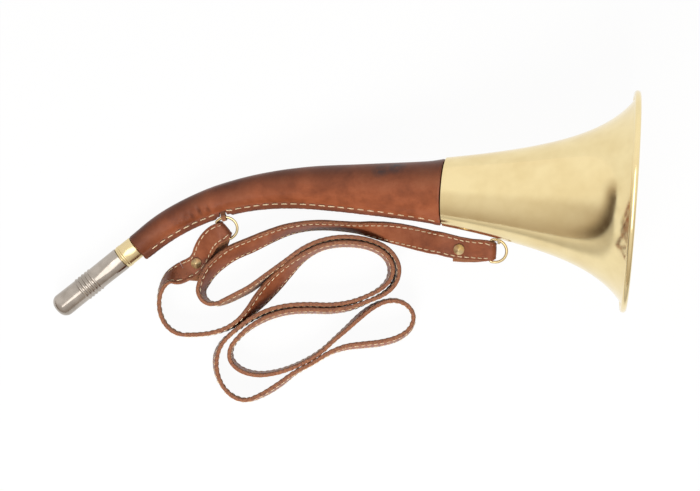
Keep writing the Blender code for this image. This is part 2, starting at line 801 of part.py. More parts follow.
def add_stud(where, middle, axis, pivot):
    """Cone head above and screw below the two layers, middle between the layers."""
    top = STACK + GAP
    head = [
        (top + STUD_SOCKET, 0.0), (top + STUD_SOCKET, STUD_BORE), (top, STUD_BORE),
        (top, STUD_HEAD_RADIUS), (top + 0.0006, STUD_HEAD_RADIUS),
        (top + STUD_HEAD_HEIGHT, 0.0003), (top + STUD_HEAD_HEIGHT, 0.0),
    ]
    add_object("stud_head_" + where, *spun(middle, axis, head), BRASS, pivot=pivot)
    foot = -STACK - GAP
    screw = [
        (foot - STUD_FOOT_HEIGHT, 0.0), (foot - STUD_FOOT_HEIGHT, STUD_FOOT_RADIUS),
        (foot, STUD_FOOT_RADIUS), (foot, STUD_SHAFT_RADIUS),
        (top + STUD_SOCKET - GAP, STUD_SHAFT_RADIUS), (top + STUD_SOCKET - GAP, 0.0),
    ]
    add_object("stud_screw_" + where, *spun(middle, axis, screw), BRASS, pivot=pivot)


FOLD_RADIUS = WIRE_RADIUS + GAP + STRAP_THICKNESS / 2
LAYER = STRAP_THICKNESS / 2 + GAP / 2

# end on the bell's ring: both layers lie in the ring's plane
BAR = BELL_RING_CENTRE - BELL_AXIS * BAR_OFFSET
UPPER_BELL = [
    (-0.0272, LAYER, -0.0021, STRAP_WIDTH), (-0.0235, LAYER, -0.0014, STRAP_WIDTH),
    (-0.0165, LAYER, -0.0005, 0.0134), (-0.0110, LAYER + 0.0003, -0.0003, 0.0130),
    (-0.0050, FOLD_RADIUS - 0.0002, -0.0003, 0.0128), (-0.0014, FOLD_RADIUS, -0.0002, 0.0126),
]
LOWER_BELL = [
    (-0.0014, -FOLD_RADIUS, 0.0006, 0.0116),
    (-0.0050, -FOLD_RADIUS + 0.0002, 0.0012, 0.0122),
    (-0.0110, -LAYER - 0.0003, 0.0018, 0.0126), (-0.0165, -LAYER, 0.0019, 0.0128),
    (-0.0222, -LAYER, 0.0019, 0.0128),
]
STUD_BELL_X = -0.0184


def hairpin(bar, forward, plane, across, over, steps=6):
    """The fold round the ring's bar, from above to below, narrowest between the legs."""
    result = []
    for k in range(steps + 1):
        a = math.pi / 2 - math.pi * k / steps
        centre = bar + (forward * math.cos(a) + plane * math.sin(a)) * FOLD_RADIUS
        width = FOLD_WIDTH + (over - FOLD_WIDTH) * max(math.sin(abs(a)) - 0.5, 0.0) / 0.5
        result.append((centre, across, width))
    return result


def bell_end(x, height, shift, width):
    """Strap station measured from the bar, in the frame of the ring on the bell."""
    centre = BAR + BELL_AXIS * x + BELL_RING_PLANE * height + BELL_RING_OUT * shift
    return centre, BELL_RING_OUT, width


stations = [bell_end(*row) for row in UPPER_BELL]
stations += hairpin(BAR, BELL_AXIS, BELL_RING_PLANE, BELL_RING_OUT, 0.0114)
stations += [bell_end(*row) for row in LOWER_BELL]
BELL_JOIN = stations[0]
BELL_JOIN_WAY = (stations[0][0] - stations[1][0]).normalized()
strap_end_bell = add_object(
    "strap_end_bell", *ribbon(stations, STRAP_THICKNESS), STRAP_LEATHER, pivot=LUG_HOLE,
)
STUD_BELL = BAR + BELL_AXIS * STUD_BELL_X
drill(strap_end_bell, STUD_BELL, BELL_RING_PLANE, STUD_BORE, 0.012)
add_stud("bell", STUD_BELL, BELL_RING_PLANE, LUG_HOLE)

# end on the cover's ring: the layers part, twist and meet again at the stud
COVER_BAR = COVER_RING_CENTRE - COVER_FORWARD * BAR_OFFSET

# plan offset from the bar, height of the middle, lean (90 is flat) and width, in mm
UPPER_COVER = [
    (-24.1, -24.7, 6.6, 70, 13.4), (-20.1, -22.6, 5.85, 86, 12.8), (-16.9, -20.0, 5.8, 90, 12.0),
    (-14.4, -16.6, 5.85, 90, 11.6), (-11.8, -11.4, 8.6, 80, 11.4), (-9.3, -7.4, 10.9, 76, 11.2),
    (-6.3, -4.2, 13.1, 80, 10.8), (-2.9, -1.9, 14.5, 88, 10.0),
]
LOWER_COVER = [
    (-1.1, -4.4, 8.1, 90, 10.2), (-3.4, -9.2, 6.3, 90, 10.8), (-7.8, -13.6, 4.4, 90, 11.0),
    (-13.0, -17.2, 3.1, 90, 11.0), (-16.9, -20.4, 3.05, 90, 11.0), (-19.0, -24.6, 3.0, 90, 10.4),
    (-19.6, -30.6, 2.2, 90, 10.0),
]
MM = 0.001


def level_across(along, lean):
    """Width direction of a strap that leans by lean degrees from standing on edge."""
    left = Vector((-along.y, along.x, 0.0)).normalized()
    a = math.radians(lean)
    return left * math.sin(a) - Vector((0, 0, 1)) * math.cos(a)


def cover_end(rows, turn_back):
    """Stations of one layer of the end that is folded round the cover's ring."""
    points = [
        Vector((COVER_BAR.x + dx * MM, COVER_BAR.y + dy * MM, z * MM))
        for dx, dy, z, _, _ in rows
    ]
    result = []
    for i, row in enumerate(rows):
        along = points[min(i + 1, len(rows) - 1)] - points[max(i - 1, 0)]
        across = level_across(-along if turn_back else along, row[3])
        result.append((points[i], across, row[4] * MM))
    return result


stations = cover_end(UPPER_COVER, False)
COVER_JOIN = stations[0]
COVER_JOIN_WAY = (stations[1][0] - stations[0][0]).normalized()
stations += hairpin(COVER_BAR, COVER_FORWARD, COVER_RING_PLANE, COVER_SIDE, FOLD_WIDTH)
stations += cover_end(LOWER_COVER, True)
strap_end_cover = add_object(
    "strap_end_cover", *ribbon(stations, STRAP_THICKNESS), STRAP_LEATHER, pivot=KEEPER_HOLE,
)
STUD_COVER = Vector((
    COVER_BAR.x + UPPER_COVER[2][0] * MM,
    COVER_BAR.y + UPPER_COVER[2][1] * MM,
    (UPPER_COVER[2][2] + LOWER_COVER[4][2]) / 2 * MM,
))
drill(strap_end_cover, STUD_COVER, Vector((0, 0, 1)), STUD_BORE, 0.012)
add_stud("cover", STUD_COVER, Vector((0, 0, 1)), KEEPER_HOLE)

# route of the strap on the table, bell end first: x, y, height of the middle (0 lays it
# on the table) and lean, in mm and degrees; the grain side is on the left of the way
ROUTE = [
    (52.1, -19.7, 23.2, 85), (41.5, -17.0, 18.9, 76), (30.8, -14.6, 14.6, 60),
    (20.0, -12.7, 11.0, 42), (9.0, -11.2, 8.6, 24), (-2.0, -10.1, 0.0, 19),
    (-13.0, -9.5, 0.0, 19), (-24.0, -10.2, 0.0, 20), (-35.0, -12.5, 0.0, 24),
    (-46.0, -16.7, 0.0, 30), (-57.1, -21.7, 0.0, 36), (-68.1, -26.5, 0.0, 37),
    (-75.9, -32.1, 0.0, 33), (-81.9, -38.1, 0.0, 28), (-85.4, -44.3, 0.0, 20),
    (-87.2, -49.8, 0.0, 12), (-85.6, -54.7, 0.0, 5), (-81.8, -57.5, 0.0, 0),
    (-77.2, -57.8, 0.0, -5), (-71.7, -55.8, 0.0, -10), (-64.3, -52.2, 0.0, -12),
    (-57.0, -48.3, 0.0, -12), (-46.0, -40.2, 0.0, -10), (-35.0, -32.0, 0.0, -8),
    (-24.6, -24.3, 0.0, -6), (-14.2, -19.6, 0.0, -6), (-3.2, -17.5, 0.0, -7),
    (7.8, -17.8, 0.0, -8), (17.5, -19.9, 0.0, -8), (25.5, -23.6, 0.0, -8),
    (30.7, -29.0, 0.0, -8), (33.2, -35.1, 0.0, -8), (32.7, -41.9, 0.0, -6),
    (29.5, -47.7, 0.0, -3), (23.7, -52.3, 0.0, 0), (15.1, -56.2, 0.0, 4), (4.1, -60.3, 0.0, 8),
    (-8.1, -62.1, 0.0, 10), (-20.3, -61.9, 0.0, 10), (-32.6, -62.5, 0.0, 10),
    (-44.8, -65.6, 0.0, 9), (-55.2, -70.9, 0.0, 6), (-63.1, -77.3, 0.0, 2),
    (-68.6, -84.3, 0.0, 0), (-69.0, -91.4, 0.0, 0), (-63.7, -97.5, 0.0, 0),
    (-53.4, -100.8, 0.0, 0), (-41.7, -99.8, 0.0, 0), (-30.7, -96.3, 0.0, 0),
    (-19.7, -90.9, 0.0, 0), (-12.4, -85.9, 0.0, 0), (-5.7, -79.8, 0.0, 0),
    (2.3, -72.7, 0.0, 3), (10.2, -65.4, 0.0, 6), (17.5, -59.9, 0.0, 4), (24.9, -56.5, 0.0, 0),
    (32.2, -55.7, 0.0, 0), (38.9, -58.4, 0.0, 0), (43.0, -64.5, 0.0, 3), (41.4, -72.4, 0.0, 8),
    (34.7, -78.1, 0.0, 12), (23.7, -81.6, 0.0, 14), (12.7, -82.9, 0.0, 14),
    (1.7, -84.3, 0.0, 12), (-8.1, -87.7, 0.0, 7), (-19.1, -94.2, 0.0, 5),
    (-29.5, -99.9, 0.0, 7), (-39.9, -107.6, 0.0, 11), (-50.3, -113.8, 0.0, 10),
    (-59.5, -116.8, 0.0, 8), (-67.4, -114.6, 0.0, 8), (-74.1, -108.0, 0.0, 10),
    (-77.9, -98.7, 0.0, 12), (-77.9, -89.5, 0.0, 12), (-74.7, -82.2, 0.0, 6),
    (-69.2, -76.5, 0.0, 1), (-62.5, -71.2, 0.0, -2), (-55.2, -66.3, 0.0, -5),
    (-44.8, -61.7, 0.0, -8), (-32.6, -59.0, 0.0, -8), (-20.3, -58.4, 0.0, -8),
    (-8.1, -58.7, 0.0, -8), (4.1, -56.9, 0.0, -6), (14.5, -53.0, 0.0, -3),
    (22.4, -48.7, 0.0, 0), (27.6, -43.4, 0.0, 4), (29.4, -37.0, 0.0, 8), (27.6, -30.9, 0.0, 9),
    (22.7, -26.0, 0.0, 9), (15.1, -22.6, 0.0, 9), (6.5, -21.1, 0.0, 9), (-3.2, -21.1, 0.0, 9),
    (-13.0, -23.0, 0.0, 10), (-21.6, -27.1, 0.0, 13), (-28.3, -31.8, 0.0, 20),
    (-35.0, -37.8, 0.0, 32), (-42.4, -45.6, 0.0, 40), (-49.7, -53.7, 0.0, 36),
    (-57.0, -62.0, 0.0, 20), (-63.1, -67.7, 0.0, 10), (-70.5, -72.4, 0.0, 6),
    (-80.2, -75.5, 0.0, 5), (-91.2, -76.7, 0.0, 5), (-101.0, -76.1, 0.0, 6),
    (-108.0, -71.5, 0.0, 8), (-112.0, -64.2, 0.0, 9), (-113.0, -55.9, 0.0, 10),
    (-111.4, -48.0, 0.0, 15), (-107.2, -41.8, 0.0, 30),
]
TABLE_GAP = 0.3
JOIN_RUN = 0.003                  # straight run at each cut, so the cut faces meet square


def smooth_route(rows):
    """Catmull-Rom curve through the rows, denser where it turns sharply."""
    result = []
    for i in range(len(rows) - 1):
        a = np.array(rows[max(i - 1, 0)])
        b = np.array(rows[i])
        c = np.array(rows[i + 1])
        d = np.array(rows[min(i + 2, len(rows) - 1)])
        before = (c - a)[:2]
        after = (d - b)[:2]
        turn = abs(math.remainder(
            math.atan2(after[1], after[0]) - math.atan2(before[1], before[0]), 2 * math.pi,
        ))
        result.append(b)
        if turn > math.radians(24):
            result.append((9 * (b + c) - a - d) / 16)
    result.append(np.array(rows[-1]))
    return result


def strap_stations():
    """Stations of the free strap, from the bell end's cut to the cover end's cut."""
    rows = []
    for x, y, z, lean in ROUTE:
        a = math.radians(lean)
        if z == 0.0:
            z = TABLE_GAP + (
                abs(math.cos(a)) * STRAP_WIDTH + abs(math.sin(a)) * STRAP_THICKNESS
            ) / 2 / MM
        rows.append((x, y, z, lean))
    first = BELL_JOIN[0] + BELL_JOIN_WAY * GAP
    last = COVER_JOIN[0] - COVER_JOIN_WAY * GAP
    rows.insert(0, (*((first + BELL_JOIN_WAY * JOIN_RUN) / MM), 88))
    rows.append((*((last - COVER_JOIN_WAY * JOIN_RUN) / MM), UPPER_COVER[0][3]))
    curve = smooth_route(rows)
    points = [Vector(row[:3]) * MM for row in curve]
    result = []
    for i, row in enumerate(curve):
        along = points[min(i + 1, len(points) - 1)] - points[max(i - 1, 0)]
        result.append((points[i], level_across(along, row[3]), STRAP_WIDTH))
    result[0] = (result[0][0], BELL_RING_OUT, STRAP_WIDTH)
    result[-1] = (result[-1][0], COVER_JOIN[1], COVER_JOIN[2])
    return (
        [(first, BELL_RING_OUT, STRAP_WIDTH)] + result + [(last, COVER_JOIN[1], COVER_JOIN[2])]
    )


add_object("strap_main", *ribbon(strap_stations(), STRAP_THICKNESS), STRAP_LEATHER)

# ---------------------------------------------------------------- reed pieces
REED_PIVOT = world(axis_point(REED_START))
shallot = place("reed_shallot", build_shallot(), BRASS_INNER, REED_PIVOT)
slot_start = CLAMP_START + CLAMP_SIZE[0] + 0.0008
slot = place(
    "reed_slot_cutter",
    block(slot_start, slot_start + SLOT_LENGTH, 0.0005, SHALLOT_RADIUS, SLOT_WIDTH / 2),
    BRASS_INNER, REED_PIVOT, False,
)
slot.hide_render = True
slot.display_type = "WIRE"
cut = shallot.modifiers.new("slot", "BOOLEAN")
cut.operation = "DIFFERENCE"
cut.solver = "EXACT"
cut.object = slot

cork_start = COLLAR_FACE - 0.0045
cork_inner = SHALLOT_RADIUS + GAP
cork_outer = COLLAR_BORE - GAP
place("reed_cork", turned([
    (cork_start, cork_outer - 0.0003), (cork_start + 0.0005, cork_outer),
    (cork_start + CORK_LENGTH - 0.0005, cork_outer), (cork_start + CORK_LENGTH, cork_outer - 0.0003),
    (cork_start + CORK_LENGTH, cork_inner), (cork_start, cork_inner),
]), CORK, REED_PIVOT)
place(
    "reed_clamp",
    block(CLAMP_START, CLAMP_START + CLAMP_SIZE[0], CLAMP_LOW, CLAMP_LOW + CLAMP_SIZE[2],
          CLAMP_SIZE[1] / 2),
    BRASS_INNER, REED_PIVOT, False,
)
TONGUE_PIVOT = world(at(TONGUE_ROOT, TONGUE_LOW + TONGUE_THICKNESS / 2, 0.0))
place(
    "reed_tongue",
    block(CLAMP_START + 0.0002, CLAMP_START + TONGUE_LENGTH, TONGUE_LOW,
          TONGUE_LOW + TONGUE_THICKNESS, TONGUE_WIDTH / 2),
    REED_METAL, TONGUE_PIVOT, False,
)
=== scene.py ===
"""Looks of the leather-covered reed horn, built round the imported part.

Metres, +Z up. The horn's own frame (s along the axis from the bell's rim, r from it)
is laid on the table by TURN and SHIFT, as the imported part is.
"""

import math

import bpy
import numpy as np
from mathutils import Matrix, Vector, noise


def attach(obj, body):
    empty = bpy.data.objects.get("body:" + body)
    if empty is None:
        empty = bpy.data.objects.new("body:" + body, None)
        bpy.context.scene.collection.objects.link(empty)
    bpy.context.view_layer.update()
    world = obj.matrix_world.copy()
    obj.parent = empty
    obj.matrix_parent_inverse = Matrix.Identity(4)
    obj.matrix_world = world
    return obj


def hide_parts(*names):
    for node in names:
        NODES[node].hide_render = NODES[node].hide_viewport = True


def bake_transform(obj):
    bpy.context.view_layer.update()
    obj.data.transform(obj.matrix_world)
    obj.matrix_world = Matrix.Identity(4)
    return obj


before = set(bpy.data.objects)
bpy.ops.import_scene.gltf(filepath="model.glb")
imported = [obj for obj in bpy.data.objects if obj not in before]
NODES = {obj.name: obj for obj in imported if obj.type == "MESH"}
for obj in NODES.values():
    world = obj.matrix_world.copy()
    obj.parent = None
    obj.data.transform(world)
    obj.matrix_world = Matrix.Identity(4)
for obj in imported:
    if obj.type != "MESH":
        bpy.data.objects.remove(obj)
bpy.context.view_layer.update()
MM = 0.001
GAP = 0.0003

# ---------------------------------------------------------------- the horn's sizes
HORN_LENGTH = 0.3670
BEND_START = 0.1595
BEND_END = 0.2948
BEND_ANGLE = math.radians(44.0)
BEND_EASE = 1.564
BELL_DIAMETER = 0.125
BELL_WALL = 0.0006
BELL_LENGTH = 0.1070
BELL_TAIL = 0.016                 # part of the bell under the leather
FLARE_SCALE = 0.0169
FLARE_POWER = 0.447
FLARE_TAPER = 0.0485
BEAD_RADIUS = 0.00175
LEATHER = 0.0013
COVER_START = BELL_LENGTH + 2 * GAP
COVER_END = 0.3050
COVER_RADII = [
    (0.1070, 0.0193), (0.1180, 0.0174), (0.1500, 0.0143),
    (0.1900, 0.0112), (0.2350, 0.0088), (0.3050, 0.0073),
]
FIN_HEIGHT = 0.0034
FIN_THICKNESS = 0.0028
FIN_TAPER_LENGTH = 0.070
FIN_BELL_HEIGHT = 0.0014
COLLAR_RADIUS = 0.00715
COLLAR_START = 0.3053
COLLAR_FACE = 0.3164
COLLAR_TAIL_RADIUS = 0.0049
SOCKET_RADIUS = 0.0062
SOCKET_LENGTH = 0.014
COLLAR_BORE = 0.0043
MOUTHPIECE_RADIUS = 0.0073
MOUTHPIECE_WALL = 0.0008
TIP_RADIUS = 0.0050
TIP_WALL = 0.0015
BLOW_HOLE = 0.0029
GRIP_RINGS = 5
GRIP_PITCH = 0.0024
GRIP_HEIGHT = 0.00032
GRIP_CENTRE = 0.0250
KEEPER_STATION = 0.2457
KEEPER_NOTCH = 0.0038             # where the keeper stands
KEEPER_DIP = 0.0090               # where the seam is lower, under the ring
WIRE_RADIUS = 0.00085
RING_RADIUS = 0.00675
BAR_OFFSET = 0.0027
RING_CORNER = 0.0012
EYE_PLAY = 0.0006
STRAP_WIDTH = 0.0140
STRAP_THICKNESS = 0.0024

TURN = Matrix((
    (-0.9733375, -0.1173982, -0.1970577),
    (0.0660141, -0.966121, 0.2495045),
    (-0.2196729, 0.2298435, 0.9481118),
))
SHIFT = Vector((0.163666, 0.0024593, 0.0613513))


# ---------------------------------------------------------------- mesh helpers
def add_mesh(name, verts, faces, mats, body=None, indices=None, sharp=40, slot=None, replaces=()):
    """One mesh piece in place, smooth but for edges sharper than the given angle."""
    mesh = bpy.data.meshes.new(name)
    mesh.from_pydata([tuple(v) for v in verts], [], faces)
    for mat in mats:
        mesh.materials.append(mat)
    if indices is not None:
        mesh.polygons.foreach_set("material_index", indices)
    mesh.polygons.foreach_set("use_smooth", [True] * len(mesh.polygons))
    mesh.set_sharp_from_angle(angle=math.radians(sharp))
    mesh.update()
    obj = bpy.data.objects.new(name, mesh)
    bpy.context.scene.collection.objects.link(obj)
    if body:
        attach(obj, body)
    if replaces:
        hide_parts(*replaces)
    return obj


def add_wear_and_shade(obj, wear_and_crease_shade):
    """How worn the leather is at each point, with painted shade in the cover's creases beside the
    keeper, for its material.
    """
    layer = obj.data.attributes.new("wear_and_crease_shade", "FLOAT", "POINT")
    layer.data.foreach_set("value", wear_and_crease_shade)


def loft(rings, closed=False):
    """Quads between rings of equal length, with flat ends unless closed into a loop."""
    count = len(rings[0])
    verts = [p for ring in rings for p in ring]
    faces = []
    for i in range(len(rings) if closed else len(rings) - 1):
        a = i * count
        b = ((i + 1) % len(rings)) * count
        for k in range(count):
            n = (k + 1) % count
            faces.append((a + k, a + n, b + n, b + k))
    if not closed:
        faces.append(tuple(reversed(range(count))))
        faces.append(tuple(range((len(rings) - 1) * count, len(rings) * count)))
    return verts, faces


def facing_out(verts, faces):
    """The faces turned over when the closed mesh encloses a negative volume."""
    co = np.array([tuple(v) for v in verts])
    total = 0.0
    for face in faces:
        a = co[face[0]]
        for k in range(1, len(face) - 1):
            total += float(np.dot(a, np.cross(co[face[k]], co[face[k + 1]])))
    if total < 0:
        faces = [tuple(reversed(face)) for face in faces]
    return verts, faces


def cubic_through(points, x):
    """Smooth value at x through a few (x, y) points."""
    xs = [p[0] for p in points]
    ys = [p[1] for p in points]
    if x <= xs[0]:
        return ys[0]
    if x >= xs[-1]:
        return ys[-1]
    i = max(k for k in range(len(xs) - 1) if xs[k] <= x)

    def slope(k):
        lo = max(k - 1, 0)
        hi = min(k + 1, len(xs) - 1)
        return (ys[hi] - ys[lo]) / (xs[hi] - xs[lo])

    step = xs[i + 1] - xs[i]
    t = (x - xs[i]) / step
    return (
        (2 * t ** 3 - 3 * t ** 2 + 1) * ys[i]
        + (t ** 3 - 2 * t ** 2 + t) * step * slope(i)
        + (3 * t ** 2 - 2 * t ** 3) * ys[i + 1]
        + (t ** 3 - t ** 2) * step * slope(i + 1)
    )


# ---------------------------------------------------------------- centre line
def heading(s):
    t = min(max((s - BEND_START) / (BEND_END - BEND_START), 0.0), 1.0)
    return BEND_ANGLE * t ** BEND_EASE


AXIS_STEPS = 1461
AXIS_S = np.linspace(0.0, HORN_LENGTH, AXIS_STEPS)
AXIS_H = np.array([heading(s) for s in AXIS_S])
AXIS_DS = HORN_LENGTH / (AXIS_STEPS - 1)
AXIS_U = np.concatenate(([0.0], np.cumsum(np.cos((AXIS_H[1:] + AXIS_H[:-1]) / 2)) * AXIS_DS))
AXIS_V = np.concatenate(([0.0], np.cumsum(np.sin((AXIS_H[1:] + AXIS_H[:-1]) / 2)) * AXIS_DS))


def at(s, across, side):
    """Row-frame point at station s, offset towards the inside of the bend and sideways."""
    h = heading(s)
    u = float(np.interp(s, AXIS_S, AXIS_U)) - math.sin(h) * across
    v = float(np.interp(s, AXIS_S, AXIS_V)) + math.cos(h) * across
    return TURN @ Vector((u, v, side)) + SHIFT


def turned(profile, sides=128):
    """Closed (s, r) outline carried round the axis."""
    angles = [2 * math.pi * k / sides for k in range(sides)]
    rings = [[at(s, r * math.cos(a), r * math.sin(a)) for a in angles] for s, r in profile]
    return facing_out(*loft(rings, True))


def sheet(path, wall):
    """Outline of a sheet of the given wall, centred on an open (s, r) path."""
    left = []
    right = []
    for i, point in enumerate(path):
        before = path[max(i - 1, 0)]
        after = path[min(i + 1, len(path) - 1)]
        d1 = np.subtract(point, before) if i > 0 else np.subtract(after, point)
        d2 = np.subtract(after, point) if i < len(path) - 1 else d1
        d1 = d1 / np.linalg.norm(d1)
        d2 = d2 / np.linalg.norm(d2)
        n = np.array([-(d1 + d2)[1], (d1 + d2)[0]])
        n = n / np.linalg.norm(n)
        reach = wall / 2 / max(float(np.dot(n, [-d1[1], d1[0]])), 0.5)
        left.append((point[0] + n[0] * reach, point[1] + n[1] * reach))
        right.append((point[0] - n[0] * reach, point[1] - n[1] * reach))
    return left + right[::-1]


def arc(centre, radius, start, turn, steps):
    angles = [start + turn * k / steps for k in range(steps + 1)]
    return [(centre[0] + radius * math.cos(a), centre[1] + radius * math.sin(a)) for a in angles]


# ---------------------------------------------------------------- materials
class Nodes:
    """A node tree, with short ways to add and link nodes."""

    def __init__(self, tree):
        self.tree = tree
        self.place = self.add("TexCoord").outputs["Object"]

    def add(self, kind, **inputs):
        node = self.tree.nodes.new("ShaderNode" + kind)
        for name, value in inputs.items():
            self.put(node.inputs[name], value)
        return node

    def put(self, socket, value):
        if isinstance(value, bpy.types.NodeSocket):
            self.tree.links.new(value, socket)
        elif value is not None:
            socket.default_value = value

    def mapped(self, scale, rotation):
        node = self.add("Mapping", Vector=self.place, Scale=scale, Rotation=rotation)
        return node.outputs["Vector"]

    def noise(self, scale, detail=3.0, rough=0.5, vector=None, distortion=0.0):
        node = self.add("TexNoise", Vector=vector or self.place, Scale=scale, Detail=detail,
                        Roughness=rough, Distortion=distortion)
        return node.outputs["Fac"]

    def cells(self, scale, feature="F1"):
        node = self.add("TexVoronoi")
        node.feature = feature
        self.put(node.inputs["Vector"], self.place)
        self.put(node.inputs["Scale"], scale)
        return node.outputs["Distance"]

    def ramp(self, value, stops):
        """Colour from (position, colour) stops."""
        node = self.add("ValToRGB", Fac=value)
        elements = node.color_ramp.elements
        while len(elements) < len(stops):
            elements.new(0.5)
        for element, (position, colour) in zip(elements, stops):
            element.position = position
            element.color = (*colour, 1.0)
        return node.outputs["Color"]

    def span(self, value, low, high, to_low, to_high, smooth=False):
        node = self.add("MapRange", Value=value)
        if smooth:
            node.interpolation_type = "SMOOTHSTEP"
        for socket, number in (("From Min", low), ("From Max", high),
                               ("To Min", to_low), ("To Max", to_high)):
            node.inputs[socket].default_value = number
        return node.outputs["Result"]

    def maths(self, operation, a, b):
        node = self.add("Math")
        node.operation = operation
        self.put(node.inputs[0], a)
        self.put(node.inputs[1], b)
        return node.outputs[0]

    def mix(self, factor, a, b):
        node = self.add("Mix")
        node.data_type = "RGBA"
        for socket, value in ((0, factor), (6, a), (7, b)):
            self.put(node.inputs[socket], value)
        return node.outputs[2]

    def blend_shaders(self, factor, a, b):
        node = self.add("MixShader")
        for socket, value in enumerate((factor, a.outputs[0], b.outputs[0])):
            self.put(node.inputs[socket], value)
        return node.outputs[0]

    def near(self, point, inside, outside):
        """1 within inside of a point, falling to 0 at outside."""
        node = self.add("VectorMath")
        node.operation = "DISTANCE"
        self.put(node.inputs[0], self.place)
        node.inputs[1].default_value = point
        return self.span(node.outputs["Value"], inside, outside, 1.0, 0.0)

    def attribute(self, name):
        node = self.add("Attribute")
        node.attribute_name = name
        return node.outputs["Fac"]

    def bump(self, height, strength, distance, normal=None):
        node = self.add("Bump", Strength=strength, Distance=distance, Height=height, Normal=normal)
        return node.outputs["Normal"]


class Surface(Nodes):
    def __init__(self, name, base, metallic, roughness, **sockets):
        self.mat = bpy.data.materials.new(name)
        self.mat.use_nodes = True
        self.mat.diffuse_color = (*base, 1.0)
        super().__init__(self.mat.node_tree)
        self.shader = self.tree.nodes["Principled BSDF"].inputs
        self.shader["Base Color"].default_value = (*base, 1.0)
        self.shader["Metallic"].default_value = metallic
        self.shader["Roughness"].default_value = roughness
        for socket, value in sockets.items():
            self.shader[socket.replace("_", " ")].default_value = value

    def finish(self, base, roughness=None, normal=None):
        self.put(self.shader["Base Color"], base)
        self.put(self.shader["Roughness"], roughness)
        self.put(self.shader["Normal"], normal)
        return self.mat


def brass_material(name, light, dark, rough_low, rough_high, dents):
    g = Surface(name, light, 1.0, rough_low)
    cloud = g.noise(55, 3, 0.55)
    specks = g.noise(900, 2, 0.6)
    colour = g.ramp(cloud, [(0.30, dark), (0.62, light)])
    marks = g.span(specks, 0.68, 0.80, 0.0, 0.35)
    colour = g.mix(marks, colour, (*dark, 1.0))
    rough = g.span(g.noise(130, 4, 0.6), 0.35, 0.70, rough_low, rough_high)
    scratches = g.noise(260, 2, 0.5, g.mapped((1.0, 14.0, 3.0), (0.4, 0.2, 0.9)))
    normal = g.bump(g.noise(38, 1, 0.4), dents, 0.0016)
    normal = g.bump(scratches, 0.05, 0.0001, normal)
    return g.finish(colour, rough, normal)


def nickel_material():
    g = Surface("nickel", (0.40, 0.355, 0.31), 1.0, 0.14)
    cloud = g.noise(120, 3, 0.55)
    colour = g.ramp(cloud, [(0.32, (0.34, 0.30, 0.26)), (0.65, (0.46, 0.41, 0.36))])
    rough = g.span(g.noise(420, 4, 0.65), 0.35, 0.72, 0.10, 0.24)
    scratches = g.noise(340, 2, 0.5, g.mapped((12.0, 1.0, 4.0), (0.0, 0.3, 0.63)))
    normal = g.bump(scratches, 0.07, 0.0001)
    return g.finish(colour, rough, normal)


def steel_material():
    g = Surface("drawn_steel", (0.5, 0.5, 0.51), 1.0, 0.35)
    colour = g.ramp(g.noise(300, 3), [(0.3, (0.38, 0.38, 0.39)), (0.7, (0.56, 0.56, 0.57))])
    return g.finish(colour, g.span(g.noise(700), 0.3, 0.7, 0.28, 0.45))


def cork_material():
    g = Surface("cork_sleeve", (0.55, 0.37, 0.21), 0.0, 0.85)
    grain = g.cells(1700)
    colour = g.ramp(grain, [(0.1, (0.28, 0.16, 0.08)), (0.45, (0.55, 0.37, 0.21)),
                            (0.8, (0.66, 0.47, 0.29))])
    return g.finish(colour, None, g.bump(grain, 0.5, 0.0003))


def grain_leather(name, deep, middle, pale, rough_low, rough_high, cell, coat):
    """Dyed grain side: mottled colour, fine pores, a soft shine, worn edges, and painted shade in
    the cover's creases beside the keeper.
    """
    g = Surface(name, middle, 0.0, rough_low, Coat_Weight=coat, Coat_Roughness=0.30,
              Specular_IOR_Level=0.24)
    cloud = g.noise(42, 5, 0.62, distortion=0.4)
    streak = g.noise(160, 3, 0.6)
    blend = g.maths("ADD", g.maths("MULTIPLY", cloud, 0.7), g.maths("MULTIPLY", streak, 0.3))
    colour = g.ramp(blend, [(0.30, deep), (0.50, middle), (0.70, pale)])
    pores = g.cells(cell, "SMOOTH_F1")
    colour = g.mix(g.span(pores, 0.25, 0.05, 0.0, 0.30), colour, (*deep, 1.0))
    # darker where worn, and painted shade in the cover's creases beside the keeper
    wear_and_crease_shade = g.attribute("wear_and_crease_shade")
    colour = g.mix(g.maths("MULTIPLY", wear_and_crease_shade, g.span(streak, 0.35, 0.6, 0.35, 1.0)),
                   colour, (*[c * 0.50 for c in deep], 1.0))
    rough = g.span(cloud, 0.3, 0.7, rough_low, rough_high)
    normal = g.bump(g.noise(95, 4, 0.6), 0.20, 0.0010)
    normal = g.bump(pores, 0.22, 0.00022, normal)
    return g, colour, rough, normal


def flesh_leather():
    """Undyed back of the strap: short fibres, pale and dry."""
    g = Surface("strap_flesh", (0.30, 0.145, 0.075), 0.0, 0.92, Sheen_Weight=0.25)
    fibre = g.noise(1500, 5, 0.7, distortion=1.2)
    cloud = g.noise(90, 4, 0.6)
    colour = g.ramp(fibre, [(0.30, (0.15, 0.055, 0.022)), (0.52, (0.31, 0.128, 0.056)),
                            (0.74, (0.45, 0.225, 0.115))])
    colour = g.mix(g.span(cloud, 0.35, 0.65, 0.0, 0.45), colour, (0.17, 0.066, 0.032, 1.0))
    return g.finish(colour, None, g.bump(fibre, 0.55, 0.0003))


def edge_leather():
    """Cut edge, dressed with wax: darker, layered along its length."""
    g = Surface("strap_edge", (0.22, 0.085, 0.042), 0.0, 0.55)
    layers = g.noise(700, 4, 0.65, distortion=0.8)
    colour = g.ramp(layers, [(0.32, (0.105, 0.032, 0.013)), (0.52, (0.250, 0.088, 0.036)),
                             (0.72, (0.38, 0.165, 0.078))])
    return g.finish(colour, g.span(layers, 0.3, 0.7, 0.42, 0.68), g.bump(layers, 0.4, 0.0002))


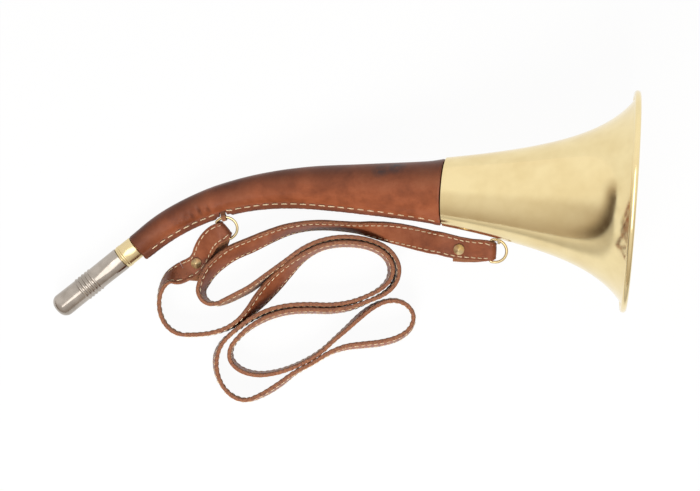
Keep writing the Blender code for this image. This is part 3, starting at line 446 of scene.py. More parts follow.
def thread_material(name, light, dark):
    """Waxed linen thread with its twist."""
    g = Surface(name, light, 0.0, 0.62, Sheen_Weight=0.2)
    twist = g.noise(2600, 2, 0.5, distortion=0.6)
    dirt = g.noise(140, 3, 0.6)
    colour = g.ramp(twist, [(0.30, dark), (0.60, light)])
    colour = g.mix(g.span(dirt, 0.48, 0.72, 0.0, 0.55), colour, (*[c * 0.45 for c in dark], 1.0))
    return g.finish(colour, None, g.bump(twist, 0.6, 0.0002))


BRASS = brass_material("brass_polished", (0.87, 0.72, 0.40), (0.80, 0.64, 0.335), 0.10, 0.17, 0.06)
BRASS_SMALL = brass_material("brass_fittings", (0.80, 0.665, 0.385), (0.66, 0.51, 0.26),
                             0.16, 0.30, 0.08)
BRASS_STUD = brass_material("brass_stud", (0.84, 0.66, 0.36), (0.72, 0.54, 0.27), 0.34, 0.46, 0.04)
BRASS_INSIDE = brass_material("brass_tube", (0.68, 0.50, 0.25), (0.50, 0.35, 0.16),
                              0.24, 0.42, 0.25)
NICKEL = nickel_material()
STEEL = steel_material()
CORK = cork_material()
THREAD = thread_material("thread_cream", (0.78, 0.63, 0.42), (0.56, 0.40, 0.22))

# ink-dark marks on the back of the cover: middles, then full and faded radius
STAIN = ((0.0220, 0.0238, 0.0425), (0.0305, 0.0250, 0.0415))
STAIN_REACH = (0.002, 0.0075)
# painted shade: darker along the back of the horn (the outside of the bend) and round its narrow
# end
PAINTED_SHADE_POINTS = [
    at(s, -cubic_through(COVER_RADII, s), 0)
    for s in (0.115, 0.145, 0.175, 0.205, 0.235, 0.265, 0.295)
]
PAINTED_SHADE_POINTS.append(at(COVER_END, 0, 0))
PAINTED_SHADE_REACH = (0.006, 0.024)


def cover_leather_material():
    g, colour, rough, normal = grain_leather(
        "cover_grain", (0.150, 0.037, 0.013), (0.265, 0.073, 0.028), (0.340, 0.110, 0.048),
        0.32, 0.48, 1100, 0.10,
    )

    def near_any(points, reach):
        mask = g.near(points[0], *reach)
        for point in points[1:]:
            mask = g.maths("MAXIMUM", mask, g.near(point, *reach))
        return mask

    # painted shade on the back of the horn (the outside of the bend) and at its narrow end
    painted_shade_mask = g.maths("MULTIPLY", near_any(PAINTED_SHADE_POINTS, PAINTED_SHADE_REACH), 0.78)
    colour = g.mix(painted_shade_mask, colour, (0.075, 0.017, 0.006, 1.0))
    blots = g.span(g.noise(210, 4, 0.65), 0.34, 0.56, 0.0, 1.0)
    stain = g.maths("MULTIPLY", near_any(STAIN, STAIN_REACH), blots)
    colour = g.mix(g.maths("MULTIPLY", stain, 0.85), colour, (0.030, 0.026, 0.030, 1.0))
    return g.finish(colour, rough, normal)


def strap_leather_material():
    g, *looks = grain_leather(
        "strap_grain", (0.100, 0.024, 0.009), (0.225, 0.064, 0.026), (0.310, 0.108, 0.050),
        0.36, 0.54, 1500, 0.10,
    )
    return g.finish(*looks)


COVER = cover_leather_material()
GRAIN = strap_leather_material()
FLESH = flesh_leather()
EDGE = edge_leather()


# ---------------------------------------------------------------- bell
def cover_radius(s):
    return cubic_through(COVER_RADII, s)


def cover_inner(s):
    return cover_radius(s) - LEATHER


def flare_radius(s):
    grown = (BELL_DIAMETER / 2 - 0.0008) * (FLARE_SCALE / (s + FLARE_SCALE)) ** FLARE_POWER
    return grown - FLARE_TAPER * s


def bell_profile():
    """Tail under the leather, flare and rolled rim."""
    path = []
    tail_end = BELL_LENGTH + BELL_TAIL
    for k in range(10):
        s = tail_end + (BELL_LENGTH + GAP - tail_end) * k / 9
        path.append((s, cover_inner(s) - GAP - BELL_WALL / 2 - 0.0001))
    for k in range(60):
        t = (1 - k / 60) ** 1.5
        s = 0.003 + (BELL_LENGTH - 0.0006 - 0.003) * t
        path.append((s, flare_radius(s) - BELL_WALL / 2))
    slope = math.atan2(path[-1][1] - path[-2][1], path[-2][0] - path[-1][0]) + math.radians(6)
    side = (math.sin(slope), math.cos(slope))
    centre = (BEAD_RADIUS, BELL_DIAMETER / 2 - BEAD_RADIUS)
    start = math.atan2(-side[1], -side[0])
    curl = BEAD_RADIUS - BELL_WALL / 2
    path.extend(arc(centre, curl, start, -math.radians(285), 30))
    return sheet(path, BELL_WALL)


add_mesh("bell_shell", *turned(bell_profile(), 160), [BRASS], "horn",
         slot="brass", replaces=["bell"])


# ---------------------------------------------------------------- collar and mouthpiece
def collar_profile():
    ring = COLLAR_FACE - 0.0022
    r = COLLAR_RADIUS
    profile = [
        (COLLAR_START - 0.010, COLLAR_TAIL_RADIUS), (COLLAR_START, COLLAR_TAIL_RADIUS),
        (COLLAR_START, r - 0.0002), (COLLAR_START + 0.0002, r),
    ]
    for k in range(9):
        s = ring - 0.0012 + 0.0024 * k / 8
        profile.append((s, r + 0.0003 * abs(math.sin(math.pi * k / 4)) ** 0.7))
    profile += [
        (COLLAR_FACE - 0.0002, r), (COLLAR_FACE, r - 0.0002),
        (COLLAR_FACE, SOCKET_RADIUS), (COLLAR_FACE + SOCKET_LENGTH, SOCKET_RADIUS),
        (COLLAR_FACE + SOCKET_LENGTH, COLLAR_BORE), (COLLAR_START - 0.010, COLLAR_BORE),
    ]
    return profile


def mouthpiece_profile():
    start = COLLAR_FACE + GAP
    r = MOUTHPIECE_RADIUS
    profile = [(start, r - 0.0003), (start + 0.0001, r - 0.0001), (start + 0.0003, r)]
    first = HORN_LENGTH - GRIP_CENTRE - GRIP_PITCH * (GRIP_RINGS - 1) / 2
    for k in range(GRIP_RINGS):
        s = first + k * GRIP_PITCH
        for step in range(-4, 5):
            x = step / 4
            profile.append((
                s + x * GRIP_PITCH * 0.34,
                r + GRIP_HEIGHT * math.cos(x * math.pi / 2) ** 1.2 - 0.00012 * (abs(x) == 1),
            ))
    profile += arc((HORN_LENGTH - TIP_RADIUS, r - TIP_RADIUS), TIP_RADIUS, math.pi / 2,
                   -math.pi / 2 * 0.94, 16)
    hole = min(BLOW_HOLE, r - TIP_RADIUS + 0.0004)
    profile += [(HORN_LENGTH, hole + 0.0002), (HORN_LENGTH - 0.0002, hole),
                (HORN_LENGTH - TIP_WALL, hole)]
    inner = r - MOUTHPIECE_WALL
    bend = TIP_RADIUS - TIP_WALL
    centre = (HORN_LENGTH - TIP_WALL - bend, inner - bend)
    profile += arc(centre, bend, math.pi / 2, -math.pi / 2 * 0.9, 8)[::-1]
    profile.append((start, inner))
    return profile


add_mesh("collar_shell", *turned(collar_profile(), 96), [BRASS_SMALL], "horn",
         slot="brass", replaces=["mouth_collar"])
add_mesh("mouthpiece_shell", *turned(mouthpiece_profile(), 96), [NICKEL], "mouthpiece",
         slot="nickel_plate", replaces=["mouthpiece"])


# ---------------------------------------------------------------- leather cover
def fin_height(s):
    """Seam edge above the leather, lower under the ring and cut away at the keeper."""
    grow = min((s - BELL_LENGTH) / FIN_TAPER_LENGTH, 1.0)
    height = FIN_BELL_HEIGHT + (FIN_HEIGHT - FIN_BELL_HEIGHT) * grow
    away = abs(s - KEEPER_STATION)
    dip = min(max((away - KEEPER_DIP / 2) / 0.0012, 0.0), 1.0)
    height -= 0.0010 * (1 - dip)
    notch = min(max((away - KEEPER_NOTCH / 2 - 0.0001) / 0.0006, 0.0), 1.0)
    return 0.0004 + (height - 0.0004) * notch


def rough_edge(s):
    """Small waves of the hand-cut seam edge."""
    return 0.00016 * noise.noise(Vector((s * 420, 3.1, 0))) + 0.00010 * noise.noise(
        Vector((s * 1500, 7.7, 0))
    )


KEEPER_CREASES = [
    # station, angle from the seam towards the upper side, length along, spread, depth
    (0.2530, 0.72, 0.0009, 0.34, 0.00060), (0.2585, 0.86, 0.0010, 0.40, 0.00070),
    (0.2640, 0.74, 0.0009, 0.34, 0.00055), (0.2690, 0.92, 0.0010, 0.26, 0.00032),
]


def crease_shade(s, angle):
    """Painted shade in the creases beside the keeper, 0 to 1."""
    if angle > math.pi:
        return 0.0
    return min(0.8, sum(
        depth * 1300 * math.exp(-((s - station) / along) ** 2 - ((angle - where) / spread) ** 2)
        for station, where, along, spread, depth in KEEPER_CREASES
    ))


def cover_swell(s, angle):
    """What the swell and the creases of the leather add to its radius."""
    swell = 0.00016 * noise.noise(Vector((s * 60, math.cos(angle) * 1.6, math.sin(angle) * 1.6)))
    for station, where, along, spread, depth in KEEPER_CREASES:
        x = (s - station) / along
        y = (angle - where) / spread
        swell -= depth * math.exp(-x * x - y * y)
        swell += 0.45 * depth * math.exp(-((x - 1.8) ** 2) - y * y)
    return swell


COVER_SIDES = 92
NO_CREASE = 20.0                  # an angle no crease reaches


def cover_outer_ring(s):
    """Outline with the seam fin; returns row-frame points and how worn each is, with painted shade
    in the creases beside the keeper.
    """
    r = cover_radius(s)
    half = FIN_THICKNESS / 2 * 0.97
    fin = fin_height(s) + rough_edge(s)
    first = math.asin(min((half + 0.0011) / r, 0.9))
    points = []
    for a in np.linspace(first, 2 * math.pi - first, COVER_SIDES):
        rr = r + cover_swell(s, a if a < math.pi else NO_CREASE)
        # third value: painted shade in the creases beside the keeper
        points.append((rr * math.cos(a), rr * math.sin(a), crease_shade(s, a)))
    flanks = []
    for sign in (-1, 1):
        side = []
        start = np.array([r * math.cos(first), sign * r * math.sin(first)])
        knee = np.array([math.sqrt(r * r - half * half), sign * half])
        top = np.array([r + max(fin - 0.0005, 0.0002), sign * half])
        for t in (0.25, 0.5, 0.75):
            p = (1 - t) ** 2 * start + 2 * t * (1 - t) * knee + t * t * (knee * 0.4 + top * 0.6)
            side.append((p[0], p[1], 0.15))
        body = knee * 0.4 + top * 0.6
        for t in (0.0, 0.5, 1.0):
            p = body * (1 - t) + top * t
            side.append((p[0], p[1], 0.25 + 0.35 * t))
        for t in (35, 65):
            a = math.radians(t)
            side.append((
                top[0] + 0.00045 * math.sin(a),
                sign * (half - 0.00045 + 0.00045 * math.cos(a)), 0.9,
            ))
        side.append((r + fin - 0.00002, sign * 0.00030, 1.0))
        flanks.append(side)
    seam = (r + max(fin - 0.00045, 0.0002), 0.0, 1.0)
    return points + flanks[0] + [seam] + flanks[1][::-1]


def build_cover_skin():
    """Outer skin with rounded ends, closed by the plain inside of the sheath."""
    stations = list(np.linspace(COVER_START, COVER_END, 300))
    for side in (-1, 1):
        edge = KEEPER_STATION + side * KEEPER_NOTCH / 2
        stations += [edge + side * step for step in (0.0001, 0.00035, 0.0007)]
    rings = []
    wear_and_crease_shade = []
    for s in sorted(stations):
        end = min(s - COVER_START, COVER_END - s)
        shrink = 0.0004 * max(1 - end / 0.0005, 0.0) ** 2
        end_wear = 0.35 * max(0.0, 1 - end / 0.0012)
        ring = []
        for x, y, wear_and_shade in cover_outer_ring(s):
            scale = 1 - shrink / math.hypot(x, y)
            ring.append(at(s, x * scale, y * scale))
            wear_and_crease_shade.append(max(wear_and_shade, end_wear))
        rings.append(ring)
    for s in np.linspace(COVER_END, COVER_START, 40):
        r = cover_inner(s)
        angles = [math.atan2(y, x) for x, y, _ in cover_outer_ring(s)]
        rings.append([at(s, r * math.cos(a), r * math.sin(a)) for a in angles])
        wear_and_crease_shade += [0.8] * len(angles)
    obj = add_mesh("cover_skin", *facing_out(*loft(rings, True)), [COVER], "horn", sharp=60,
                   slot="cover_leather", replaces=["leather_cover"])
    add_wear_and_shade(obj, wear_and_crease_shade)


build_cover_skin()


# ---------------------------------------------------------------- stitches
STRAP_THREAD = (0.00030, 0.00016)  # radius of the thread, and how far a stitch bulges
SEAM_THREAD = (0.00040, 0.00022)
SEAM_PITCH = 0.0061
SEAM_STITCH = 0.0044
SEAM_DEPTH = 0.0023               # of the stitches below the fin's edge


def capsule(a, b, out, radius, bulge, sides=8, steps=6):
    """One stitch from a to b: a thread that rises along out and dips at both ends."""
    along = (b - a).normalized()
    wide = along.cross(out).normalized()
    up = wide.cross(along)
    rings = []
    for k in range(steps + 1):
        t = k / steps
        height = bulge * math.sin(math.pi * t) ** 0.55 - radius * 0.9 * (2 * t - 1) ** 8
        fat = radius * (0.70 + 0.30 * math.sin(math.pi * t) ** 0.5)
        centre = a + (b - a) * t + up * height
        rings.append([
            centre + wide * (fat * math.cos(2 * math.pi * j / sides))
            + up * (fat * 0.85 * math.sin(2 * math.pi * j / sides))
            for j in range(sides)
        ])
    return loft(rings)


def add_stitches(name, stitches, size=STRAP_THREAD, body=None, slot="strap_leather"):
    """All stitches of one row as one mesh; each is (start, end, outward)."""
    verts = []
    faces = []
    for a, b, out in stitches:
        points, quads = capsule(a, b, out, *size)
        base = len(verts)
        verts += points
        faces += [tuple(i + base for i in quad) for quad in quads]
    return add_mesh(name, verts, faces, [THREAD], body, sharp=80, slot=slot)


def seam_stitches():
    """Stitches on both sides of the fin, left out where the keeper stands."""
    rows = []
    s = COVER_START + 0.0030
    while s + SEAM_STITCH < COVER_END - 0.0012:
        span = (s, s + SEAM_STITCH / 2, s + SEAM_STITCH)
        if all(abs(e - KEEPER_STATION) > KEEPER_NOTCH / 2 + 0.0002 for e in span):
            wobble = 0.0002 * noise.noise(Vector((s * 300, 1.3, 5.0)))
            for sign in (-1, 1):
                side = sign * (FIN_THICKNESS / 2 + 0.00004)
                a, b = (
                    at(e, cover_radius(e) + max(fin_height(e) - SEAM_DEPTH, 0.0001) + wobble, side)
                    for e in (span[0], span[2])
                )
                out = at(s, cover_radius(s), sign * 0.01) - at(s, cover_radius(s), 0.0)
                rows.append((a, b, out.normalized()))
        s += SEAM_PITCH
    return rows


add_stitches("cover_seam_stitches", seam_stitches(), SEAM_THREAD, "horn", "cover_leather")

# ---------------------------------------------------------------- rings and eyes
LUG_HOLE = Vector((0.0920601, -0.019031, 0.0330275))
LUG_OUT = Vector((0.0312979, -0.9105125, -0.4122952))
BELL_AXIS = Vector((0.9733376, -0.0660141, 0.219673))
BELL_RING_OUT = Vector((-0.0206204, -0.9789961, -0.2028331))
BELL_RING_CENTRE = Vector((0.0899321, -0.0251917, 0.0312728))
BELL_RING_PLANE = Vector((-0.2284488, -0.1928954, 0.9542549))
KEEPER_HOLE = Vector((-0.0724123, -0.0049724, 0.01424))
KEEPER_OUT = Vector((0.2514523, -0.9218622, 0.2948591))
COVER_AXIS = Vector((0.947597, 0.2965091, 0.1189216))
COVER_RING_CENTRE = Vector((-0.0712423, -0.0113932, 0.0125176))
COVER_FORWARD = Vector((0.781956, 0.5924067, 0.1939047))
COVER_RING_PLANE = Vector((-0.0378791, -0.2653413, 0.9634101))
COVER_SIDE = Vector((-0.6221817, 0.7606893, 0.1850454))


def ring_path(centre, forward, side, bow=40, bend=8, bar=10):
    """D outline: half round towards forward, straight bar behind the centre."""
    path = []
    for k in range(bow + 1):
        a = -math.pi / 2 + math.pi * k / bow
        path.append(centre + (forward * math.cos(a) + side * math.sin(a)) * RING_RADIUS)
    corners = []
    for sign in (1, -1):
        angles = [math.pi / 2 * k / bend for k in range(bend + 1)][::sign]
        corners.append([
            centre + forward * (RING_CORNER - BAR_OFFSET - RING_CORNER * math.sin(a))
            + side * (sign * (RING_RADIUS - RING_CORNER + RING_CORNER * math.cos(a)))
            for a in angles
        ])
    path += corners[0]
    for k in range(1, bar):
        path.append(corners[0][-1].lerp(corners[1][0], k / bar))
    path += corners[1]
    return path


def round_wire(path, plane, radius, sides=20):
    """Closed loop of wire lying in the given plane."""
    rings = []
    angles = [2 * math.pi * (k + 0.5) / sides for k in range(sides)]
    for i, centre in enumerate(path):
        along = (path[(i + 1) % len(path)] - path[i - 1]).normalized()
        inward = plane.cross(along) * radius
        rings.append([
            centre + inward * math.cos(a) + plane * (radius * math.sin(a)) for a in angles
        ])
    return facing_out(*loft(rings, True))


def eye(hole, axis, outside, foot, half_width, thickness, wall, edge):
    """Flat eye with rounded edges: a foot towards the horn and a hole for the ring."""
    side = axis.cross(outside)
    bore = WIRE_RADIUS + EYE_PLAY
    count = 72
    half = thickness / 2
    layers = [
        (-half, edge), (-half + edge * 0.3, edge * 0.3), (-half + edge, 0.0),
        (half - edge, 0.0), (half - edge * 0.3, edge * 0.3), (half, edge),
    ]
    outer = []
    inner = []
    for offset, inset in layers:
        ring = []
        hole_ring = []
        for k in range(count):
            a = 2 * math.pi * k / count
            c = math.cos(a)
            s = math.sin(a)
            reach = bore + wall
            if c < -0.25:
                box = foot / -c
                if abs(s) > 1e-6:
                    box = min(box, half_width / abs(s))
                reach = max(reach, box)
            ring.append(hole + axis * offset + (outside * c + side * s) * (reach - inset))
            hole_ring.append(hole + axis * offset + (outside * c + side * s) * (bore + inset))
        outer.append(ring)
        inner.append(hole_ring)
    return facing_out(*loft(outer + inner[::-1], True))


add_mesh("ring_bell", *round_wire(ring_path(BELL_RING_CENTRE, BELL_AXIS, BELL_RING_OUT),
                                  BELL_RING_PLANE, WIRE_RADIUS),
         [BRASS_SMALL], "bell_ring", slot="brass", replaces=["d_ring_bell"])
add_mesh("ring_cover", *round_wire(ring_path(COVER_RING_CENTRE, COVER_FORWARD, COVER_SIDE),
                                   COVER_RING_PLANE, WIRE_RADIUS),
         [BRASS_SMALL], "cover_ring", slot="brass", replaces=["d_ring_cover"])
add_mesh("lug_eye", *eye(LUG_HOLE, BELL_AXIS, LUG_OUT, 0.0031, 0.0026, 0.0016, 0.0008, 0.00025),
         [BRASS_SMALL], "horn", slot="brass", replaces=["bell_lug"])
add_mesh("keeper_eye", *eye(KEEPER_HOLE, COVER_AXIS, KEEPER_OUT, 0.00315, 0.0011, 0.0028,
                            0.0008, 0.0003),
         [FLESH], "horn", slot="strap_leather", replaces=["ring_keeper"])

# ---------------------------------------------------------------- strap shapes
# (x, y, lean) of the strap in mm and degrees, with its height before the lean where it is raised
ROUTE = [
    (52.1, -19.7, 23.2, 85), (41.5, -17.0, 18.9, 76), (30.8, -14.6, 14.6, 60),
    (20.0, -12.7, 11.0, 42), (9.0, -11.2, 8.6, 24), (-2.0, -10.1, 19), (-13.0, -9.5, 19),
    (-24.0, -10.2, 20), (-35.0, -12.5, 24), (-46.0, -16.7, 30), (-57.1, -21.7, 36),
    (-68.1, -26.5, 37), (-75.9, -32.1, 33), (-81.9, -38.1, 28), (-85.4, -44.3, 20),
    (-87.2, -49.8, 12), (-85.6, -54.7, 5), (-81.8, -57.5, 0), (-77.2, -57.8, -5),
    (-71.7, -55.8, -10), (-64.3, -52.2, -12), (-57.0, -48.3, -12), (-46.0, -40.2, -10),
    (-35.0, -32.0, -8), (-24.6, -24.3, -6), (-14.2, -19.6, -6), (-3.2, -17.5, -7),
    (7.8, -17.8, -8), (17.5, -19.9, -8), (25.5, -23.6, -8), (30.7, -29.0, -8), (33.2, -35.1, -8),
    (32.7, -41.9, -6), (29.5, -47.7, -3), (23.7, -52.3, 0), (15.1, -56.2, 4), (4.1, -60.3, 8),
    (-8.1, -62.1, 10), (-20.3, -61.9, 10), (-32.6, -62.5, 10), (-44.8, -65.6, 9),
    (-55.2, -70.9, 6), (-63.1, -77.3, 2), (-68.6, -84.3, 0), (-69.0, -91.4, 0), (-63.7, -97.5, 0),
    (-53.4, -100.8, 0), (-41.7, -99.8, 0), (-30.7, -96.3, 0), (-19.7, -90.9, 0), (-12.4, -85.9, 0),
    (-5.7, -79.8, 0), (2.3, -72.7, 3), (10.2, -65.4, 6), (17.5, -59.9, 4), (24.9, -56.5, 0),
    (32.2, -55.7, 0), (38.9, -58.4, 0), (43.0, -64.5, 3), (41.4, -72.4, 8), (34.7, -78.1, 12),
    (23.7, -81.6, 14), (12.7, -82.9, 14), (1.7, -84.3, 12), (-8.1, -87.7, 7), (-19.1, -94.2, 5),
    (-29.5, -99.9, 7), (-39.9, -107.6, 11), (-50.3, -113.8, 10), (-59.5, -116.8, 8),
    (-67.4, -114.6, 8), (-74.1, -108.0, 10), (-77.9, -98.7, 12), (-77.9, -89.5, 12),
    (-74.7, -82.2, 6), (-69.2, -76.5, 1), (-62.5, -71.2, -2), (-55.2, -66.3, -5),
    (-44.8, -61.7, -8), (-32.6, -59.0, -8), (-20.3, -58.4, -8), (-8.1, -58.7, -8),
    (4.1, -56.9, -6), (14.5, -53.0, -3), (22.4, -48.7, 0), (27.6, -43.4, 4), (29.4, -37.0, 8),
    (27.6, -30.9, 9), (22.7, -26.0, 9), (15.1, -22.6, 9), (6.5, -21.1, 9), (-3.2, -21.1, 9),
    (-13.0, -23.0, 10), (-21.6, -27.1, 13), (-28.3, -31.8, 20), (-35.0, -37.8, 32),
    (-42.4, -45.6, 40), (-49.7, -53.7, 36), (-57.0, -62.0, 20), (-63.1, -67.7, 10),
    (-70.5, -72.4, 6), (-80.2, -75.5, 5), (-91.2, -76.7, 5), (-101.0, -76.1, 6),
    (-108.0, -71.5, 8), (-112.0, -64.2, 9), (-113.0, -55.9, 10), (-111.4, -48.0, 15),
    (-107.2, -41.8, 30),
]
TABLE_GAP = 0.3                   # mm
JOIN_RUN = 0.003
JOIN_GAP = 0.00002
UPPER_COVER = [
    (-24.1, -24.7, 6.6, 70, 13.4), (-20.1, -22.6, 5.85, 86, 12.8), (-16.9, -20.0, 5.8, 90, 12.0),
    (-14.4, -16.6, 5.85, 90, 12.2), (-11.8, -11.4, 8.6, 80, 12.8), (-9.3, -7.4, 10.9, 76, 13.0),
    (-6.3, -4.2, 13.1, 80, 12.9), (-2.9, -1.9, 14.5, 88, 12.5),
]
LOWER_COVER = [
    (-1.1, -4.4, 8.1, 90, 10.2), (-3.4, -9.2, 6.3, 90, 10.8), (-7.8, -13.6, 4.4, 90, 11.0),
    (-13.0, -17.2, 3.1, 90, 11.0), (-16.9, -20.4, 3.05, 90, 11.0), (-19.0, -24.6, 3.0, 90, 10.4),
    (-19.6, -30.6, 2.2, 90, 10.0),
]
FOLD_WIDTH = 0.0100
FOLD_RADIUS = WIRE_RADIUS + GAP + STRAP_THICKNESS / 2
LAYER = STRAP_THICKNESS / 2 + GAP / 2
UPPER_BELL = [
    (-0.0272, LAYER, -0.0021, STRAP_WIDTH), (-0.0235, LAYER, -0.0014, STRAP_WIDTH),
    (-0.0165, LAYER, -0.0005, 0.0134), (-0.0110, LAYER + 0.0003, -0.0003, 0.0130),
    (-0.0050, FOLD_RADIUS - 0.0002, -0.0003, 0.0128), (-0.0014, FOLD_RADIUS, -0.0002, 0.0126),
]
LOWER_BELL = [
    (-0.0014, -FOLD_RADIUS, 0.0006, 0.0116),
    (-0.0050, -FOLD_RADIUS + 0.0002, 0.0012, 0.0122),
    (-0.0110, -LAYER - 0.0003, 0.0018, 0.0126), (-0.0165, -LAYER, 0.0019, 0.0128),
    (-0.0222, -LAYER, 0.0019, 0.0128),
]
BAR = BELL_RING_CENTRE - BELL_AXIS * BAR_OFFSET
COVER_BAR = COVER_RING_CENTRE - COVER_FORWARD * BAR_OFFSET


def level_across(along, lean):
    """Width direction of a strap that leans by lean degrees from standing on edge."""
    left = Vector((-along.y, along.x, 0.0)).normalized()
    a = math.radians(lean)
    return left * math.sin(a) - Vector((0, 0, 1)) * math.cos(a)


def hairpin(bar, forward, plane, across, over, steps=12):
    """The fold round the ring's bar, narrowest between the ring's legs."""
    result = []
    for k in range(steps + 1):
        a = math.pi / 2 - math.pi * k / steps
        centre = bar + (forward * math.cos(a) + plane * math.sin(a)) * FOLD_RADIUS
        width = FOLD_WIDTH + (over - FOLD_WIDTH) * max(math.sin(abs(a)) - 0.5, 0.0) / 0.5
        result.append((centre, across, width))
    return result


def bell_end_stations():
    def row(x, height, shift, width):
        centre = BAR + BELL_AXIS * x + BELL_RING_PLANE * height + BELL_RING_OUT * shift
        return centre, BELL_RING_OUT, width

    stations = [row(*r) for r in UPPER_BELL]
    stations += hairpin(BAR, BELL_AXIS, BELL_RING_PLANE, BELL_RING_OUT, 0.0114)
    return stations + [row(*r) for r in LOWER_BELL]


def cover_end_stations():
    def layer(rows, turn_back):
        points = [
            Vector((COVER_BAR.x + dx * MM, COVER_BAR.y + dy * MM, z * MM))
            for dx, dy, z, _, _ in rows
        ]
        result = []
        for i, r in enumerate(rows):
            along = points[min(i + 1, len(rows) - 1)] - points[max(i - 1, 0)]
            across = level_across(-along if turn_back else along, r[3])
            result.append((points[i], across, r[4] * MM))
        return result

    stations = layer(UPPER_COVER, False)
    stations += hairpin(COVER_BAR, COVER_FORWARD, COVER_RING_PLANE, COVER_SIDE, 0.0118)
    return stations + layer(LOWER_COVER, True)


def main_stations():
    """The free strap, from the bell end's cut to the cover end's cut."""
    bell = bell_end_stations()
    cover = cover_end_stations()
    bell_way = (bell[0][0] - bell[1][0]).normalized()
    cover_way = (cover[1][0] - cover[0][0]).normalized()
    first = bell[0][0] + bell_way * JOIN_GAP
    last = cover[0][0] - cover_way * JOIN_GAP
    rows = [(*((first + bell_way * JOIN_RUN) / MM), 88)]
    for x, y, *height, lean in ROUTE:
        a = math.radians(lean)
        lying = abs(math.cos(a)) * STRAP_WIDTH + abs(math.sin(a)) * STRAP_THICKNESS
        z = height[0] if height else TABLE_GAP + lying / 2 / MM
        rows.append((x, y, z, lean))
    rows.append((*((last - cover_way * JOIN_RUN) / MM), UPPER_COVER[0][3]))
    points = [Vector(row[:3]) * MM for row in rows]
    result = [(first, BELL_RING_OUT, STRAP_WIDTH)]
    for i, row in enumerate(rows):
        along = points[min(i + 1, len(points) - 1)] - points[max(i - 1, 0)]
        result.append((points[i], level_across(along, row[3]), STRAP_WIDTH))
    result[1] = (result[1][0], BELL_RING_OUT, STRAP_WIDTH)
    result[-1] = (result[-1][0], cover[0][1], cover[0][2])
    result.append((last, cover[0][1], cover[0][2]))
    return result


def smooth(stations, step):
    """The stations again, about step apart on a smooth curve through them."""
    rows = [np.array([*c, *a, w]) for c, a, w in stations]
    result = []
    for i in range(len(rows) - 1):
        p0 = rows[max(i - 1, 0)]
        p1 = rows[i]
        p2 = rows[i + 1]
        p3 = rows[min(i + 2, len(rows) - 1)]
        gaps = [max(np.linalg.norm((q - p)[:3]), 1e-6) for p, q in ((p0, p1), (p1, p2), (p2, p3))]
        knots = np.cumsum([0.0] + [g ** 0.5 for g in gaps])
        if i == 0:
            knots[0] = knots[1] - (knots[2] - knots[1])
            p0 = 2 * p1 - p2
        if i == len(rows) - 2:
            knots[3] = knots[2] + (knots[2] - knots[1])
            p3 = 2 * p2 - p1
        count = max(1, round(gaps[1] / step))
        for k in range(count):
            t = knots[1] + (knots[2] - knots[1]) * k / count

            def between(a, b, low, high):
                return (a * (knots[high] - t) + b * (t - knots[low])) / (knots[high] - knots[low])

            middle = between(p1, p2, 1, 2)
            before = between(between(p0, p1, 0, 1), middle, 0, 2)
            after = between(middle, between(p2, p3, 2, 3), 1, 3)
            result.append(between(before, after, 1, 2))
    result.append(rows[-1])
    return [(Vector(r[:3]), Vector(r[3:6]).normalized(), float(r[6])) for r in result]


def frames(stations, grain=1):
    """(centre, along, wide, grain normal, width, distance) at each station."""
    result = []
    run = 0.0
    for i, (centre, across, width) in enumerate(stations):
        before = stations[max(i - 1, 0)][0]
        after = stations[min(i + 1, len(stations) - 1)][0]
        along = (after - before).normalized()
        wide = (across - along * across.dot(along)).normalized()
        thick = along.cross(wide) * grain
        if i:
            run += (centre - stations[i - 1][0]).length
        result.append((centre, along, wide, thick, width, run))
    return result


STITCH_INSET = 0.00185
STITCH_PITCH = 0.0039
STITCH = 0.0029
STITCH_SLANT = 0.00012
STRAP_SKIN = 0.00228              # thickness shown
STRAP_CORNER = 0.00055


def strap_section(width, seed):
    """(across, up, kind) points round a strap; kind 0 grain, 1 edge, 2 flesh."""
    half = width / 2
    t = STRAP_SKIN / 2
    groove = half - STITCH_INSET
    row = [-half + STRAP_CORNER, -groove - 0.0004, -groove, -groove + 0.0005, -half * 0.35, 0.0,
           half * 0.35, groove - 0.0005, groove, groove + 0.0004, half - STRAP_CORNER]

    def in_groove(x):
        return abs(abs(x) - groove) < 1e-6

    def cut_edge(side, where):
        sway = 0.00013 * noise.noise(Vector((seed * 330, where, 0.0)))
        points = []
        for a, up in ((30, 1), (60, 1), (90, 1), (90, 0), (90, -1), (60, -1), (30, -1)):
            r = math.radians(a)
            points.append((side * (half - STRAP_CORNER * (1 - math.sin(r))) + sway,
                           side * up * (t - STRAP_CORNER * (1 - math.cos(r))), 1))
        return points

    grain = [(x, t - 0.00016 * in_groove(x) + 0.00008 * (abs(x) < half * 0.4), 0) for x in row]
    flesh = [(x, -t + 0.00014 * in_groove(x), 2) for x in row[::-1]]
    return grain + cut_edge(1, 0.3) + flesh + cut_edge(-1, 9.3)


def strap_mesh(name, rows, body=None, replaces=()):
    """Leather strap with grain, flesh and edge faces."""
    rings = []
    wear_and_crease_shade = []
    for centre, _, wide, thick, width, run in rows:
        section = strap_section(width, run)
        rings.append([centre + wide * p[0] + thick * p[1] for p in section])
        wear_and_crease_shade += [0.75 if p[2] == 1 else (0.45 if abs(p[0]) > width / 2 - 0.0009 else 0.0)
                   for p in section]
    kinds = [p[2] for p in section]
    index = []
    for pair in zip(kinds, kinds[1:] + kinds[:1]):
        index.append(1 if 1 in pair else pair[0])
    obj = add_mesh(name, *facing_out(*loft(rings)), [GRAIN, EDGE, FLESH], body,
                   index * (len(rings) - 1) + [1, 1],
                   sharp=75, slot="strap_leather", replaces=replaces)
    add_wear_and_shade(obj, wear_and_crease_shade)
    return obj


def rows_at(rows, distance):
    """Centre, along, wide, thick and width at a distance along the strap."""
    runs = [r[5] for r in rows]
    i = min(max(int(np.searchsorted(runs, distance)) - 1, 0), len(rows) - 2)
    a = rows[i]
    b = rows[i + 1]
    t = (distance - a[5]) / max(b[5] - a[5], 1e-9)
    return [a[k].lerp(b[k], t) for k in range(4)] + [a[4] + (b[4] - a[4]) * t]


